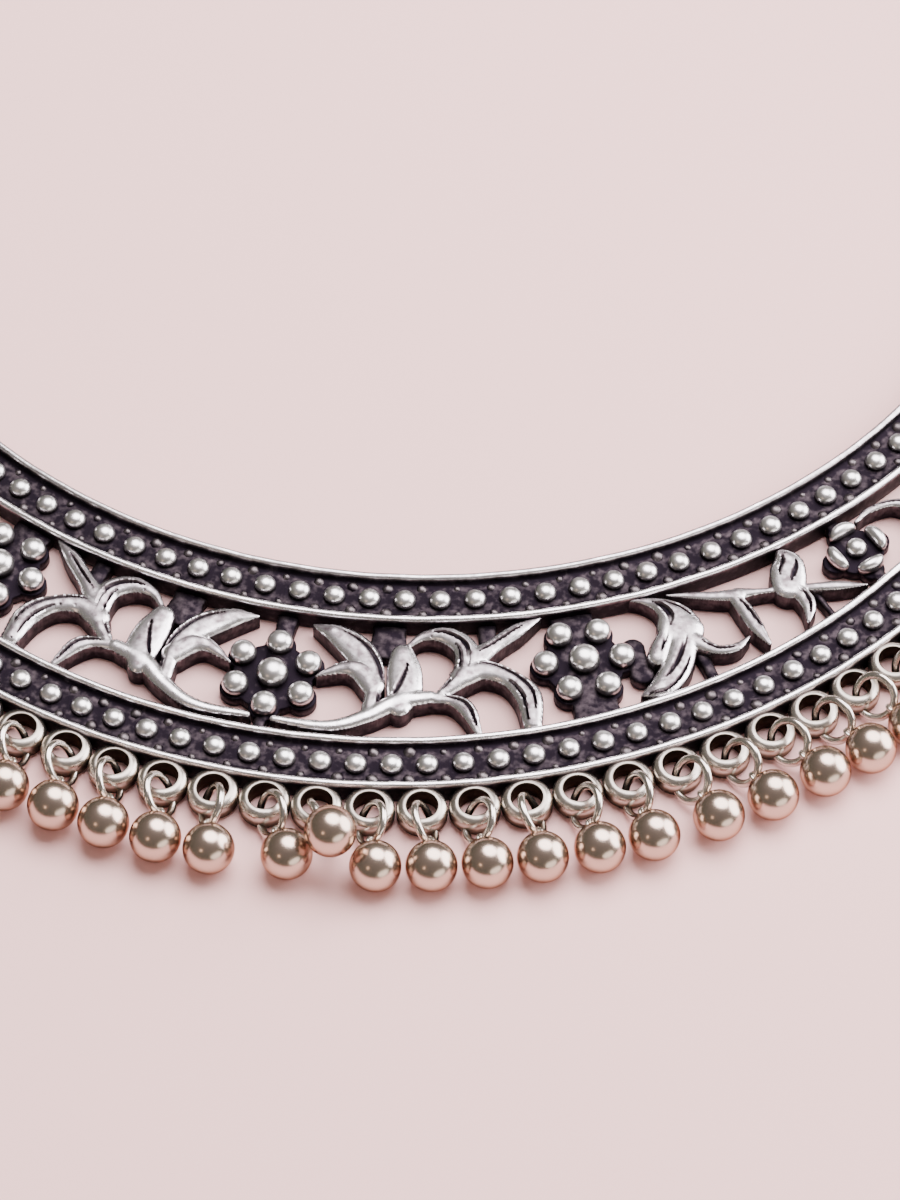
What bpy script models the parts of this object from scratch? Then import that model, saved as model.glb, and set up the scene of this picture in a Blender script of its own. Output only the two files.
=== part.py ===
# Filigree collar necklace: a rigid pierced crescent between two beaded rails,
# a row of cast loops with jump rings and hollow balls, and a plain neck bar with its clasp link.
# Metres, +Z up. The front of the neck faces -Y and the collar lies on Z = 0.
import math

import bmesh
import bpy
from mathutils import Matrix, Vector

# Rails: two round rails whose circles are set one in front of the other
INNER_ROW_RADIUS = 0.0620
OUTER_ROW_FORWARD = 0.0142
RAIL_WIDTH = 0.0055
PANEL_FRONT_WIDTH = 0.0132
OUTER_ROW_RADIUS = INNER_ROW_RADIUS + RAIL_WIDTH + PANEL_FRONT_WIDTH - OUTER_ROW_FORWARD
RAIL_HEIGHT = 0.0024
RIM_WIDTH = 0.0006
CHANNEL_DEPTH = 0.0007
CHANNEL_WALL_SLOPE = 0.0002
RAIL_STEPS = 30

# Raised row of beads along the middle of each channel
BEAD_ROW_WIDTH = 0.0020
BEAD_ROW_CREST = 0.0008
BEAD_ROW_HEIGHT = 0.0008

# Scroll panel: its heights, and the flowers' places as shares of the way to the end of the rails
PANEL_BOTTOM = 0.0003
PANEL_SET_DOWN = 0.0003
PANEL_TOP = RAIL_HEIGHT - PANEL_SET_DOWN
LEAF_WIDTH = 0.0020
STROKE_STEPS = 2
STRUT_SET_DOWN = 0.0007
STRUT_TOP = PANEL_TOP - STRUT_SET_DOWN
PANEL_END_WIDTH = 0.0016
PANEL_END_SETBACK_ANGLE = 0.5
PANEL_END_BOTTOM = 0.0001
SECOND_FLOWER_WAY = 0.288
THIRD_FLOWER_WAY = 0.588

# Bead flowers and the four-petal flowers
FIRST_FLOWER_SHARE = 0.52
SECOND_FLOWER_SHARE = 0.45
THIRD_FLOWER_SHARE = 0.465
FIRST_FLOWER_TURN = 90.0
SECOND_FLOWER_TURN = 19.0
THIRD_FLOWER_TURN = 45.0
PETAL_RING = 0.0035
PETAL_RADIUS = 0.0012
CENTRE_BEAD_RADIUS = 0.00145
PLATE_MARGIN = 0.0002
FLOWER_PLATE_TOP = STRUT_TOP
CROWN_SHARE = 0.5
PETAL_HEIGHT = 0.0012
CENTRE_BEAD_HEIGHT = 0.0014
SMALL_PETAL_RING = 0.0024
SMALL_PETAL_RADIUS = 0.0010

# Cast loops along the outer edge
LOOP_COUNT = 38
LOOP_OUTER_RADIUS = 0.0022
LOOP_WALL = 0.00075
LOOP_THICKNESS = 0.0008
LOOP_SINK = 0.0004

# Jump rings and balls: each ring stands on the ground through its loop, and each ball lies on the ground
RING_RADIUS = 0.0020
RING_WIRE_RADIUS = 0.0003
RING_UNDER_GAP = 0.00045
RING_RISE = RING_RADIUS - RING_WIRE_RADIUS - LOOP_THICKNESS / 2 - RING_UNDER_GAP
LOOP_MIDDLE_HEIGHT = RING_RADIUS + RING_WIRE_RADIUS - RING_RISE
RING_PULL = 0.0004
BALL_RADIUS = 0.0023
BALL_BAND_ANGLE = 45.0
BALL_SEAT = 0.000275
BALL_GAP = 0.0005
SINK = 0.0004

# Neck bar, its tapered terminals, end eyes and the clasp link
BAR_RADIUS = 0.0016
BAR_STEP_ANGLE = 9.0
TERMINAL_OVERLAP = 0.00025
EYE_RING_RADIUS = 0.0014
EYE_RING_WIRE_RADIUS = 0.0005
EYE_GAP = 0.0014
EYE_SPACING = 2 * (EYE_RING_RADIUS + EYE_RING_WIRE_RADIUS) + EYE_GAP
LINK_WIRE_RADIUS = 0.0004
LINK_CORNER_RADIUS = 0.0008
LINK_CLEARANCE = 0.0003

ROUND_SIDES = 10
WIRE_SIDES = 5

# Scroll strokes of one half, mirrored to the other half.
# Columns: name, points as (station, share across the panel, share of the leaf width).
# Station 0 is the middle flower, 1 and 2 are the next flowers and 3 is where the rails meet.
STROKES = (
    ("crescent", (
        (0.10, 0.07, 0.15), (0.19, 0.14, 1.10), (0.27, 0.27, 1.50), (0.325, 0.48, 0.90), (0.315, 0.76, 0.65),
    )),
    ("crescent_inner", (
        (0.14, 0.50, 0.12), (0.18, 0.45, 0.45), (0.23, 0.41, 0.75), (0.28, 0.43, 1.15), (0.32, 0.55, 1.10),
    )),
    ("stem", (
        (0.04, 0.90, 0.35), (0.20, 0.91, 0.56), (0.31, 0.81, 0.70), (0.40, 0.68, 1.10), (0.50, 0.64, 0.70),
    )),
    ("small_leaf", ((0.41, 0.27, 1.10), (0.418, 0.42, 1.60), (0.42, 0.58, 1.60), (0.405, 0.72, 1.10))),
    ("top_curl", (
        (0.42, 0.21, 0.20), (0.48, 0.11, 0.50), (0.56, 0.11, 0.95), (0.62, 0.23, 1.15), (0.61, 0.45, 1.10),
        (0.53, 0.63, 0.50),
    )),
    ("leaf_up", ((0.64, 0.33, 1.15), (0.72, 0.21, 0.80), (0.80, 0.10, 0.75), (0.89, 0.00, 0.12))),
    ("big_curl", (
        (0.60, 0.48, 1.15), (0.67, 0.43, 1.10), (0.75, 0.52, 1.00), (0.80, 0.70, 1.25), (0.80, 0.95, 0.90),
    )),
    ("bottom_curl", ((0.48, 0.64, 0.62), (0.56, 0.67, 0.58), (0.61, 0.76, 0.82), (0.64, 0.97, 0.35))),
    ("second_crescent", (
        (1.20, -0.02, 0.11), (1.25, 0.03, 0.35), (1.30, 0.13, 0.85), (1.328, 0.27, 1.57), (1.326, 0.41, 2.20),
    )),
    ("second_inner", ((1.30, 0.30, 0.65), (1.27, 0.43, 0.78), (1.242, 0.52, 0.90), (1.22, 0.61, 0.92))),
    ("second_body", (
        (1.345, 0.40, 1.45), (1.305, 0.60, 1.35), (1.26, 0.77, 1.40), (1.20, 0.90, 1.15), (1.136, 0.92, 0.15),
    )),
    ("branch", ((1.35, 0.57, 0.90), (1.40, 0.73, 0.55), (1.46, 0.79, 0.46), (1.516, 0.74, 0.10))),
    ("thin_leaf", ((1.337, 0.03, 0.09), (1.41, 0.11, 0.36), (1.48, 0.20, 0.52), (1.556, 0.29, 0.73))),
    ("leaf_down", ((1.541, 0.31, 0.64), (1.547, 0.49, 0.79), (1.549, 0.68, 0.72), (1.556, 0.90, 0.24))),
    ("rib", ((1.555, 0.27, 0.66), (1.64, 0.36, 0.30), (1.72, 0.47, 0.40))),
    ("curl", ((1.725, 0.47, 0.74), (1.738, 0.61, 0.82), (1.733, 0.76, 0.68), (1.70, 0.91, 0.15))),
    ("side_leaf", ((1.745, 0.50, 0.35), (1.85, 0.72, 0.52), (1.935, 0.93, 0.10))),
    ("upper_leaf", ((1.723, 0.43, 1.60), (1.745, 0.31, 1.70), (1.77, 0.20, 1.35), (1.77, 0.07, 0.60))),
    ("third_crescent", (
        (2.05, 0.17, 0.18), (2.10, 0.15, 0.34), (2.16, 0.27, 0.45), (2.19, 0.58, 0.70), (2.17, 1.02, 0.40),
    )),
    ("third_stem", (
        (2.19, 0.62, 0.50), (2.31, 0.58, 0.60), (2.45, 0.50, 0.55), (2.62, 0.50, 0.50), (2.82, 0.50, 0.35),
    )),
    ("third_curl", ((2.30, 0.52, 0.35), (2.35, 0.22, 0.45), (2.42, -0.05, 0.30))),
    ("third_leaf", ((2.36, 0.58, 0.40), (2.42, 0.82, 0.40), (2.47, 1.06, 0.25))),
)
# Low struts that tie the strokes and flowers to the rails.
# Columns: station, share at one end, share at the other end, share of the leaf width.
STRUTS = (
    (0.00, -0.05, 0.40, 1.00),
    (0.00, 0.62, 1.05, 0.60),
    (0.36, -0.05, 0.14, 1.70),
    (0.70, -0.05, 0.20, 0.95),
    (1.00, -0.05, 0.40, 0.80),
    (1.00, 0.62, 1.05, 0.80),
    (1.17, -0.05, 0.16, 0.45),
    (1.36, 0.70, 1.05, 0.60),
    (1.79, 0.60, 1.05, 0.35),
    (2.00, -0.05, 0.40, 0.70),
    (2.00, 0.62, 1.05, 0.70),
)
# Turned drops, by number from the left end.
# Columns: drop, degrees turned sideways, degrees turned up, degrees rolled.
TURNED_DROPS = (
    (11, 4, 0, 0),
    (12, 9, 0, -14),
    (13, 13, 0, -18),
    (14, 17, 0, -20),
    (15, 19, 0, -18),
    (16, 18, 0, 12),
    (17, 16, 0, -10),
    (18, 14, 0, 8),
    (19, 12, 0, -6),
    (20, 28, 0, 0),
    (21, 20, 43, 0),
    (22, 7, 0, 6),
    (23, 5.3, 0, 0),
    (24, 3.6, 0, -8),
    (25, 1.8, 0, 6),
    (26, 2, 0, 10),
    (27, 1, 0, -5),
    (28, 10, 0, -6),
    (29, 12.5, 0, 8),
    (30, 15.5, 0, 12),
    (31, 14, 0, 14),
    (32, 12, 0, 10),
    (33, 10, 0, 6),
    (34, 8.4, 0, 4),
    (35, 6.7, 0, -5),
    (36, 4.9, 0, 5),
    (37, 3.1, 0, 0),
    (38, 1.3, 0, 0),
)
# Tapered terminal sections.
# Columns: degrees past the end of the rails, share of the way from the bar's width to both rails together,
# the same for the middle line, share of the bar's height.
TERMINAL_SECTIONS = (
    (-3.0, 1.00, 1.00, 0.78),
    (2.5, 0.86, 0.92, 0.84),
    (6.5, 0.50, 0.60, 0.92),
    (11.0, 0.16, 0.20, 0.98),
    (16.0, 0.00, 0.00, 1.00),
)


def clear_scene():
    for old in list(bpy.data.objects):
        bpy.data.objects.remove(old, do_unlink=True)


def make_material(name, colour, metallic, roughness):
    material = bpy.data.materials.new(name)
    material.use_nodes = True
    shader = material.node_tree.nodes["Principled BSDF"]
    shader.inputs["Base Color"].default_value = (*colour, 1.0)
    shader.inputs["Metallic"].default_value = metallic
    shader.inputs["Roughness"].default_value = roughness
    return material


# Plan geometry: polar places about the middle of the inner rail's circle


def place(angle, radius, height=0.0):
    """Angle in degrees from the front, towards +X."""
    turn = math.radians(angle)
    return Vector((radius * math.sin(turn), -radius * math.cos(turn), height))


def outer_row_radius(angle):
    turn = math.radians(angle)
    across = OUTER_ROW_FORWARD * math.sin(turn)
    return OUTER_ROW_FORWARD * math.cos(turn) + math.sqrt(OUTER_ROW_RADIUS ** 2 - across ** 2)


def angle_where_panel_is(width):
    """Degrees from the front at which the rails' facing edges are this far apart."""
    radius = INNER_ROW_RADIUS + RAIL_WIDTH + width
    squares = radius ** 2 + OUTER_ROW_FORWARD ** 2 - OUTER_ROW_RADIUS ** 2
    return math.degrees(math.acos(squares / (2.0 * radius * OUTER_ROW_FORWARD)))


RAIL_END_ANGLE = angle_where_panel_is(0.0)
STATION_ANGLES = (
    0.0, SECOND_FLOWER_WAY * RAIL_END_ANGLE, THIRD_FLOWER_WAY * RAIL_END_ANGLE, RAIL_END_ANGLE,
)


def panel_angle(station):
    first = min(int(station), len(STATION_ANGLES) - 2)
    share = station - first
    return STATION_ANGLES[first] + share * (STATION_ANGLES[first + 1] - STATION_ANGLES[first])


def panel_place(station, share):
    angle = panel_angle(station)
    low = INNER_ROW_RADIUS + RAIL_WIDTH / 2
    high = outer_row_radius(angle) - RAIL_WIDTH / 2
    return place(angle, low + share * (high - low))


def outer_place(angle, radius, height=0.0):
    """The same about the middle of the outer rail's circle."""
    return place(angle, radius, height) + Vector((0.0, -OUTER_ROW_FORWARD, 0.0))


def outer_end_angle():
    end = place(RAIL_END_ANGLE, outer_row_radius(RAIL_END_ANGLE))
    return math.degrees(math.atan2(end.x, -(end.y + OUTER_ROW_FORWARD)))


# Mesh makers


def mesh_object(name, bm):
    bmesh.ops.recalc_face_normals(bm, faces=bm.faces)
    mesh = bpy.data.meshes.new(name)
    bm.to_mesh(mesh)
    bm.free()
    item = bpy.data.objects.new(name, mesh)
    bpy.context.scene.collection.objects.link(item)
    return item


def loft(name, rings, closed=False):
    """Rings of points joined in order into one closed body."""
    bm = bmesh.new()
    loops = [[bm.verts.new(point) for point in ring] for ring in rings]
    pairs = list(zip(loops, loops[1:]))
    if closed:
        pairs.append((loops[-1], loops[0]))
    else:
        bm.faces.new(loops[0])
        bm.faces.new(loops[-1])
    for one, two in pairs:
        count = len(one)
        for i in range(count):
            j = (i + 1) % count
            bm.faces.new((one[i], one[j], two[j], two[i]))
    return mesh_object(name, bm)


def circle_points(middle, side, up, radius, sides, turn=0.0):
    points = []
    for i in range(sides):
        angle = 2.0 * math.pi * (i + turn) / sides
        points.append(middle + side * (radius * math.cos(angle)) + up * (radius * math.sin(angle)))
    return points


def torus(name, middle, side, up, radius, wire_radius, sides, wire_sides):
    """A ring in the plane of side and up."""
    axis = side.cross(up)
    rings = []
    for i in range(sides):
        angle = 2.0 * math.pi * i / sides
        out = side * math.cos(angle) + up * math.sin(angle)
        rings.append(circle_points(middle + out * radius, out, axis, wire_radius, wire_sides))
    return loft(name, rings, closed=True)


def ball(name, middle, radius):
    """A round ball with its poles up and down."""
    bm = bmesh.new()
    bottom = bm.verts.new(middle - Vector((0.0, 0.0, radius)))
    top = bm.verts.new(middle + Vector((0.0, 0.0, radius)))
    loops = []
    flat_x = Vector((1.0, 0.0, 0.0))
    flat_y = Vector((0.0, 1.0, 0.0))
    for latitude in (-BALL_BAND_ANGLE, 0.0, BALL_BAND_ANGLE):
        turn = math.radians(latitude)
        level = middle + Vector((0.0, 0.0, radius * math.sin(turn)))
        ring = circle_points(level, flat_x, flat_y, radius * math.cos(turn), ROUND_SIDES)
        loops.append([bm.verts.new(point) for point in ring])
    for i in range(ROUND_SIDES):
        j = (i + 1) % ROUND_SIDES
        bm.faces.new((bottom, loops[0][j], loops[0][i]))
        bm.faces.new((top, loops[-1][i], loops[-1][j]))
        for one, two in zip(loops, loops[1:]):
            bm.faces.new((one[i], one[j], two[j], two[i]))
    return mesh_object(name, bm)


def smooth_route(points, steps):
    """Points of a Catmull-Rom curve through the given ones; each holds any number of values."""
    points = [tuple(p) for p in points]
    ends = [tuple(2 * a - b for a, b in zip(points[0], points[1]))]
    ends.append(tuple(2 * a - b for a, b in zip(points[-1], points[-2])))
    chain = [ends[0], *points, ends[1]]
    route = []
    for k in range(1, len(chain) - 2):
        for step in range(steps):
            t = step / steps
            values = []
            for a, b, c, d in zip(chain[k - 1], chain[k], chain[k + 1], chain[k + 2]):
                square = (2 * a - 5 * b + 4 * c - d) * t ** 2
                cube = (3 * b - a - 3 * c + d) * t ** 3
                values.append(0.5 * (2 * b + (c - a) * t + square + cube))
            route.append(tuple(values))
    route.append(points[-1])
    return route


def stroke(name, points, bottom, top, side):
    """A leaf or stem of varying width, standing from bottom to top."""
    route = smooth_route(points, STROKE_STEPS)
    middles = [panel_place(station, share) for station, share, _ in route]
    rings = []
    for i, (middle, (_, _, width)) in enumerate(zip(middles, route)):
        along = middles[min(i + 1, len(middles) - 1)] - middles[max(i - 1, 0)]
        across = Vector((-along.y, along.x, 0.0)).normalized() * (LEAF_WIDTH * width / 2)
        ring = [middle - across, middle + across, middle + across, middle - across]
        for point, z in zip(ring, (bottom, bottom, top, top)):
            point.x *= side
            point.z = z
        rings.append([Vector(point) for point in ring])
    return loft(name, rings)


def fuse(name, pieces, material):
    """One body from overlapping pieces, by an exact union."""
    body = pieces[0]
    body.name = name
    if len(pieces) > 1:
        cutters = bpy.data.collections.new(name + "_pieces")
        for piece in pieces[1:]:
            cutters.objects.link(piece)
        union = body.modifiers.new("Union", "BOOLEAN")
        union.operation = "UNION"
        union.solver = "EXACT"
        union.operand_type = "COLLECTION"
        union.collection = cutters
        bpy.context.view_layer.update()
        evaluated = body.evaluated_get(bpy.context.evaluated_depsgraph_get())
        mesh = bpy.data.meshes.new_from_object(evaluated)
        body.modifiers.remove(union)
        body.data = mesh
        for piece in pieces[1:]:
            bpy.data.objects.remove(piece, do_unlink=True)
        bpy.data.collections.remove(cutters)
        tidy_mesh(mesh)
    body.data.name = name
    body.data.materials.clear()
    body.data.materials.append(material)
    body.data.shade_smooth()
    body.data.set_sharp_from_angle(angle=math.radians(35.0))
    return body


def tidy_mesh(mesh):
    bm = bmesh.new()
    bm.from_mesh(mesh)
    bmesh.ops.remove_doubles(bm, verts=bm.verts, dist=0.000002)
    bmesh.ops.dissolve_limit(bm, angle_limit=math.radians(0.2), verts=bm.verts, edges=bm.edges)
    bmesh.ops.triangulate(bm, faces=bm.faces)
    bm.to_mesh(mesh)
    bm.free()


# Rails


def rail_profile():
    """Across the rail and up: two rims, a sunken channel and the raised row of beads in it."""
    half = RAIL_WIDTH / 2
    rim = half - RIM_WIDTH
    foot = rim - CHANNEL_WALL_SLOPE
    floor = RAIL_HEIGHT - CHANNEL_DEPTH
    crest = floor + BEAD_ROW_HEIGHT
    return (
        (-half, 0.0),
        (half, 0.0),
        (half, RAIL_HEIGHT),
        (rim, RAIL_HEIGHT),
        (foot, floor),
        (BEAD_ROW_WIDTH / 2, floor),
        (BEAD_ROW_CREST / 2, crest),
        (-BEAD_ROW_CREST / 2, crest),
        (-BEAD_ROW_WIDTH / 2, floor),
        (-foot, floor),
        (-rim, RAIL_HEIGHT),
        (-half, RAIL_HEIGHT),
    )


def rail(name, place_on, row_radius, end_angle):
    rings = []
    for step in range(RAIL_STEPS + 1):
        angle = -end_angle + 2.0 * end_angle * step / RAIL_STEPS
        rings.append([place_on(angle, row_radius + across, up) for across, up in rail_profile()])
    return loft(name, rings)


def dome(name, middle, radius, floor, height):
    """A low bead: a ten-sided foot sunk in the floor under a five-sided crown."""
    bm = bmesh.new()
    flat_x = Vector((1.0, 0.0, 0.0))
    flat_y = Vector((0.0, 1.0, 0.0))
    sunk = middle + Vector((0.0, 0.0, floor - SINK / 2))
    base = [bm.verts.new(p) for p in circle_points(sunk, flat_x, flat_y, radius, ROUND_SIDES)]
    crown_level = middle + Vector((0.0, 0.0, floor + height))
    crown_points = circle_points(crown_level, flat_x, flat_y, radius * CROWN_SHARE, ROUND_SIDES // 2)
    crown = [bm.verts.new(p) for p in crown_points]
    bm.faces.new(base)
    bm.faces.new(crown)
    for i in range(ROUND_SIDES // 2):
        before = base[(2 * i - 1) % ROUND_SIDES]
        at = base[2 * i]
        after = base[2 * i + 1]
        bm.faces.new((before, at, crown[i]))
        bm.faces.new((at, after, crown[i]))
        bm.faces.new((after, crown[(i + 1) % (ROUND_SIDES // 2)], crown[i]))
    return mesh_object(name, bm)


# Scroll panel, flowers, loops


def scroll_panel():
    pieces = []
    for side, tag in ((1, "right"), (-1, "left")):
        for name, points in STROKES:
            pieces.append(stroke(f"{name}_{tag}", points, PANEL_BOTTOM, PANEL_TOP, side))
        for order, (station, start, end, width) in enumerate(STRUTS):
            if station == 0.0 and side < 0:
                continue
            points = ((station, start, width), (station, end, width))
            pieces.append(stroke(f"strut_{order}_{tag}", points, PANEL_BOTTOM, STRUT_TOP, side))
        pieces.append(panel_end(f"panel_end_{tag}", side))
    return pieces


def panel_end(name, side):
    """The plate that closes the panel where the rails come together."""
    rings = []
    start = angle_where_panel_is(PANEL_END_WIDTH)
    for step in range(3):
        angle = start + (RAIL_END_ANGLE - PANEL_END_SETBACK_ANGLE - start) * step / 2
        low = INNER_ROW_RADIUS + RAIL_WIDTH / 2 - SINK
        high = outer_row_radius(angle) - RAIL_WIDTH / 2 + SINK
        bottom = PANEL_END_BOTTOM
        corners = ((low, bottom), (high, bottom), (high, PANEL_TOP), (low, PANEL_TOP))
        rings.append([place(side * angle, radius, z) for radius, z in corners])
    return loft(name, rings)


def bead_flower(tag, middle, petal_count, ring_radius, petal_radius, centre_radius, first_angle):
    flat_x = Vector((1.0, 0.0, 0.0))
    flat_y = Vector((0.0, 1.0, 0.0))
    plate_radius = ring_radius + petal_radius + PLATE_MARGIN
    plate_rings = []
    for z in (PANEL_BOTTOM, FLOWER_PLATE_TOP):
        level = middle + Vector((0.0, 0.0, z))
        plate_rings.append(circle_points(level, flat_x, flat_y, plate_radius, ROUND_SIDES))
    pieces = [loft(f"plate_{tag}", plate_rings)]
    pieces.append(dome(f"centre_{tag}", middle, centre_radius, FLOWER_PLATE_TOP, CENTRE_BEAD_HEIGHT))
    for number in range(petal_count):
        turn = math.radians(first_angle + 360.0 * number / petal_count)
        spot = middle + Vector((math.cos(turn), math.sin(turn), 0.0)) * ring_radius
        pieces.append(dome(f"petal_{tag}_{number}", spot, petal_radius, FLOWER_PLATE_TOP, PETAL_HEIGHT))
    return pieces


def flowers():
    pieces = []
    large = (6, PETAL_RING, PETAL_RADIUS, CENTRE_BEAD_RADIUS)
    small = (4, SMALL_PETAL_RING, SMALL_PETAL_RADIUS, SMALL_PETAL_RADIUS)
    pieces += bead_flower("first", panel_place(0.0, FIRST_FLOWER_SHARE), *large, FIRST_FLOWER_TURN)
    for side, tag in ((1, "right"), (-1, "left")):
        for name, station, share, sizes, turn in (
            ("second", 1.0, SECOND_FLOWER_SHARE, large, SECOND_FLOWER_TURN),
            ("third", 2.0, THIRD_FLOWER_SHARE, small, THIRD_FLOWER_TURN),
        ):
            middle = panel_place(station, share)
            middle.x *= side
            facing = turn if side > 0 else 180.0 - turn
            pieces += bead_flower(f"{name}_{tag}", middle, *sizes, facing)
    return pieces


def loop_row_radius():
    return OUTER_ROW_RADIUS + RAIL_WIDTH / 2 + LOOP_OUTER_RADIUS - LOOP_SINK


def ball_reach():
    """From the middle of a ring to the middle of its ball, whose flats lie against the ring's wire."""
    flats = BALL_RADIUS * math.cos(math.radians(BALL_BAND_ANGLE / 2))
    return RING_RADIUS + BALL_SEAT + flats


def ball_row_radius():
    return loop_row_radius() + LOOP_OUTER_RADIUS - LOOP_WALL / 2 + RING_PULL + ball_reach()


def loop_angle(number):
    """The loops stand as far apart as the balls need."""
    step = 2.0 * math.asin((BALL_RADIUS + BALL_GAP / 2) / ball_row_radius())
    return math.degrees((number - (LOOP_COUNT + 1) / 2) * step)


def cast_loop(number):
    """A flat round loop in the plane of the collar."""
    middle = outer_place(loop_angle(number), loop_row_radius(), LOOP_MIDDLE_HEIGHT)
    out = outer_place(loop_angle(number), 1.0) - outer_place(loop_angle(number), 0.0)
    side = Vector((-out.y, out.x, 0.0))
    half = Vector((0.0, 0.0, LOOP_THICKNESS / 2))
    rings = []
    for i in range(ROUND_SIDES):
        angle = 2.0 * math.pi * (i + 0.5) / ROUND_SIDES
        ray = out * math.cos(angle) + side * math.sin(angle)
        near = middle + ray * (LOOP_OUTER_RADIUS - LOOP_WALL)
        far = middle + ray * LOOP_OUTER_RADIUS
        rings.append([near - half, far - half, far + half, near + half])
    return loft(f"loop_{number}", rings, closed=True)


# Terminals, neck bar and end eyes


def bar_sections(side):
    """Round sections from the end of the rails round to the end eye."""
    full_width = RAIL_WIDTH + TERMINAL_OVERLAP
    full_middle = INNER_ROW_RADIUS + RAIL_WIDTH / 2
    sections = []
    for past, wide, away, tall in TERMINAL_SECTIONS:
        half_width = BAR_RADIUS + wide * (full_width - BAR_RADIUS)
        middle = INNER_ROW_RADIUS + away * (full_middle - INNER_ROW_RADIUS)
        sections.append((RAIL_END_ANGLE + past, middle, half_width, BAR_RADIUS * tall))
    eye_reach = EYE_SPACING / 2 + EYE_RING_RADIUS
    end = 180.0 - math.degrees(math.asin(eye_reach / INNER_ROW_RADIUS))
    start = sections[-1][0]
    count = max(2, round((end - start) / BAR_STEP_ANGLE))
    for step in range(1, count + 1):
        sections.append((start + (end - start) * step / count, INNER_ROW_RADIUS, BAR_RADIUS, BAR_RADIUS))
    rings = []
    for angle, middle, half_width, half_height in sections:
        ring = []
        for i in range(ROUND_SIDES):
            turn = 2.0 * math.pi * (i + 0.5) / ROUND_SIDES
            radius = middle + half_width * math.cos(turn)
            ring.append(place(side * angle, radius, BAR_RADIUS + half_height * math.sin(turn)))
        rings.append(ring)
    return rings


def neck_bar(side, tag):
    pieces = [loft(f"neck_bar_{tag}", bar_sections(side))]
    middle = Vector((side * EYE_SPACING / 2, INNER_ROW_RADIUS, BAR_RADIUS))
    flat_x = Vector((1.0, 0.0, 0.0))
    flat_y = Vector((0.0, 1.0, 0.0))
    sizes = (EYE_RING_RADIUS, EYE_RING_WIRE_RADIUS, ROUND_SIDES, WIRE_SIDES + 1)
    pieces.append(torus(f"end_eye_{tag}", middle, flat_x, flat_y, *sizes))
    return pieces


def collar(material):
    outer_end = outer_end_angle()
    pieces = [rail("inner_rail", place, INNER_ROW_RADIUS, RAIL_END_ANGLE)]
    pieces.append(rail("outer_rail", outer_place, OUTER_ROW_RADIUS, outer_end))
    pieces += scroll_panel()
    pieces += flowers()
    pieces += [cast_loop(number) for number in range(1, LOOP_COUNT + 1)]
    pieces += neck_bar(1.0, "right")
    pieces += neck_bar(-1.0, "left")
    return fuse("collar", pieces, material)


def clasp_link(material):
    """An upright oval wire link through both end eyes."""
    reach = EYE_RING_WIRE_RADIUS + LINK_CLEARANCE + LINK_WIRE_RADIUS
    inner_side = EYE_SPACING / 2 - EYE_RING_RADIUS
    half_length = inner_side + reach
    middle = Vector((0.0, INNER_ROW_RADIUS, BAR_RADIUS))
    flat_y = Vector((0.0, 1.0, 0.0))
    corner = LINK_CORNER_RADIUS
    rings = []
    for quarter, (right, up) in enumerate(((1, 1), (-1, 1), (-1, -1), (1, -1))):
        for step in range(3):
            turn = math.radians(90.0 * quarter + 45.0 * step)
            out = Vector((math.cos(turn), 0.0, math.sin(turn)))
            bend = Vector((right * (half_length - corner), 0.0, up * (reach - corner)))
            spot = middle + bend + out * corner
            rings.append(circle_points(spot, out, flat_y, LINK_WIRE_RADIUS, WIRE_SIDES + 1))
    return fuse("clasp_link", [loft("clasp_link", rings, closed=True)], material)


def drop(number, material):
    """A jump ring through its cast loop, with its ball hung on it."""
    turns = {row[0]: row[1:] for row in TURNED_DROPS}
    sideways, upward, roll = turns.get(number, (0, 0, 0))
    angle = loop_angle(number)
    hinge = outer_place(angle, loop_row_radius(), LOOP_MIDDLE_HEIGHT)
    heading = place(angle + sideways, 1.0)
    wall = hinge + heading * (LOOP_OUTER_RADIUS - LOOP_WALL / 2)
    middle = wall + heading * RING_PULL + Vector((0.0, 0.0, RING_RISE))
    reach = ball_reach()
    resting = math.asin((BALL_RADIUS - middle.z) / reach)
    rise = resting + math.radians(upward)
    pull = heading * math.cos(rise) + Vector((0.0, 0.0, math.sin(rise)))
    level = Vector((-heading.y, heading.x, 0.0))
    upright = pull.cross(level) * -1.0
    lean = math.radians(roll)
    up = upright * math.cos(lean) + level * math.sin(lean)
    name = f"drop_{number:02d}"
    ring = torus("ring_" + name, middle, pull, up, RING_RADIUS, RING_WIRE_RADIUS, ROUND_SIDES, WIRE_SIDES)
    sphere = ball("ball_" + name, middle + pull * reach, BALL_RADIUS)
    return fuse(name, [ring, sphere], material)


def centre_on_base(items):
    """Moves everything so that the origin is under the middle of the whole box."""
    corners = [vertex.co for item in items for vertex in item.data.vertices]
    low = Vector([min(c[i] for c in corners) for i in range(3)])
    high = Vector([max(c[i] for c in corners) for i in range(3)])
    shift = Vector((-(low.x + high.x) / 2, -(low.y + high.y) / 2, -low.z))
    for item in items:
        item.data.transform(Matrix.Translation(shift))


def build():
    clear_scene()
    blackened = make_material("blackened_silver", (0.42, 0.40, 0.40), 1.0, 0.32)
    polished = make_material("polished_silver", (0.80, 0.76, 0.72), 1.0, 0.10)
    plain = make_material("plain_silver", (0.55, 0.53, 0.52), 1.0, 0.25)
    items = [collar(blackened), clasp_link(plain)]
    items += [drop(number, polished) for number in range(1, LOOP_COUNT + 1)]
    centre_on_base(items)


build()
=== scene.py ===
# Filigree collar necklace: a pierced scroll panel between beaded rails, with cast loops, rings and balls
import math

import bmesh
import bpy
import numpy as np
from mathutils import Matrix, Vector


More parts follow.
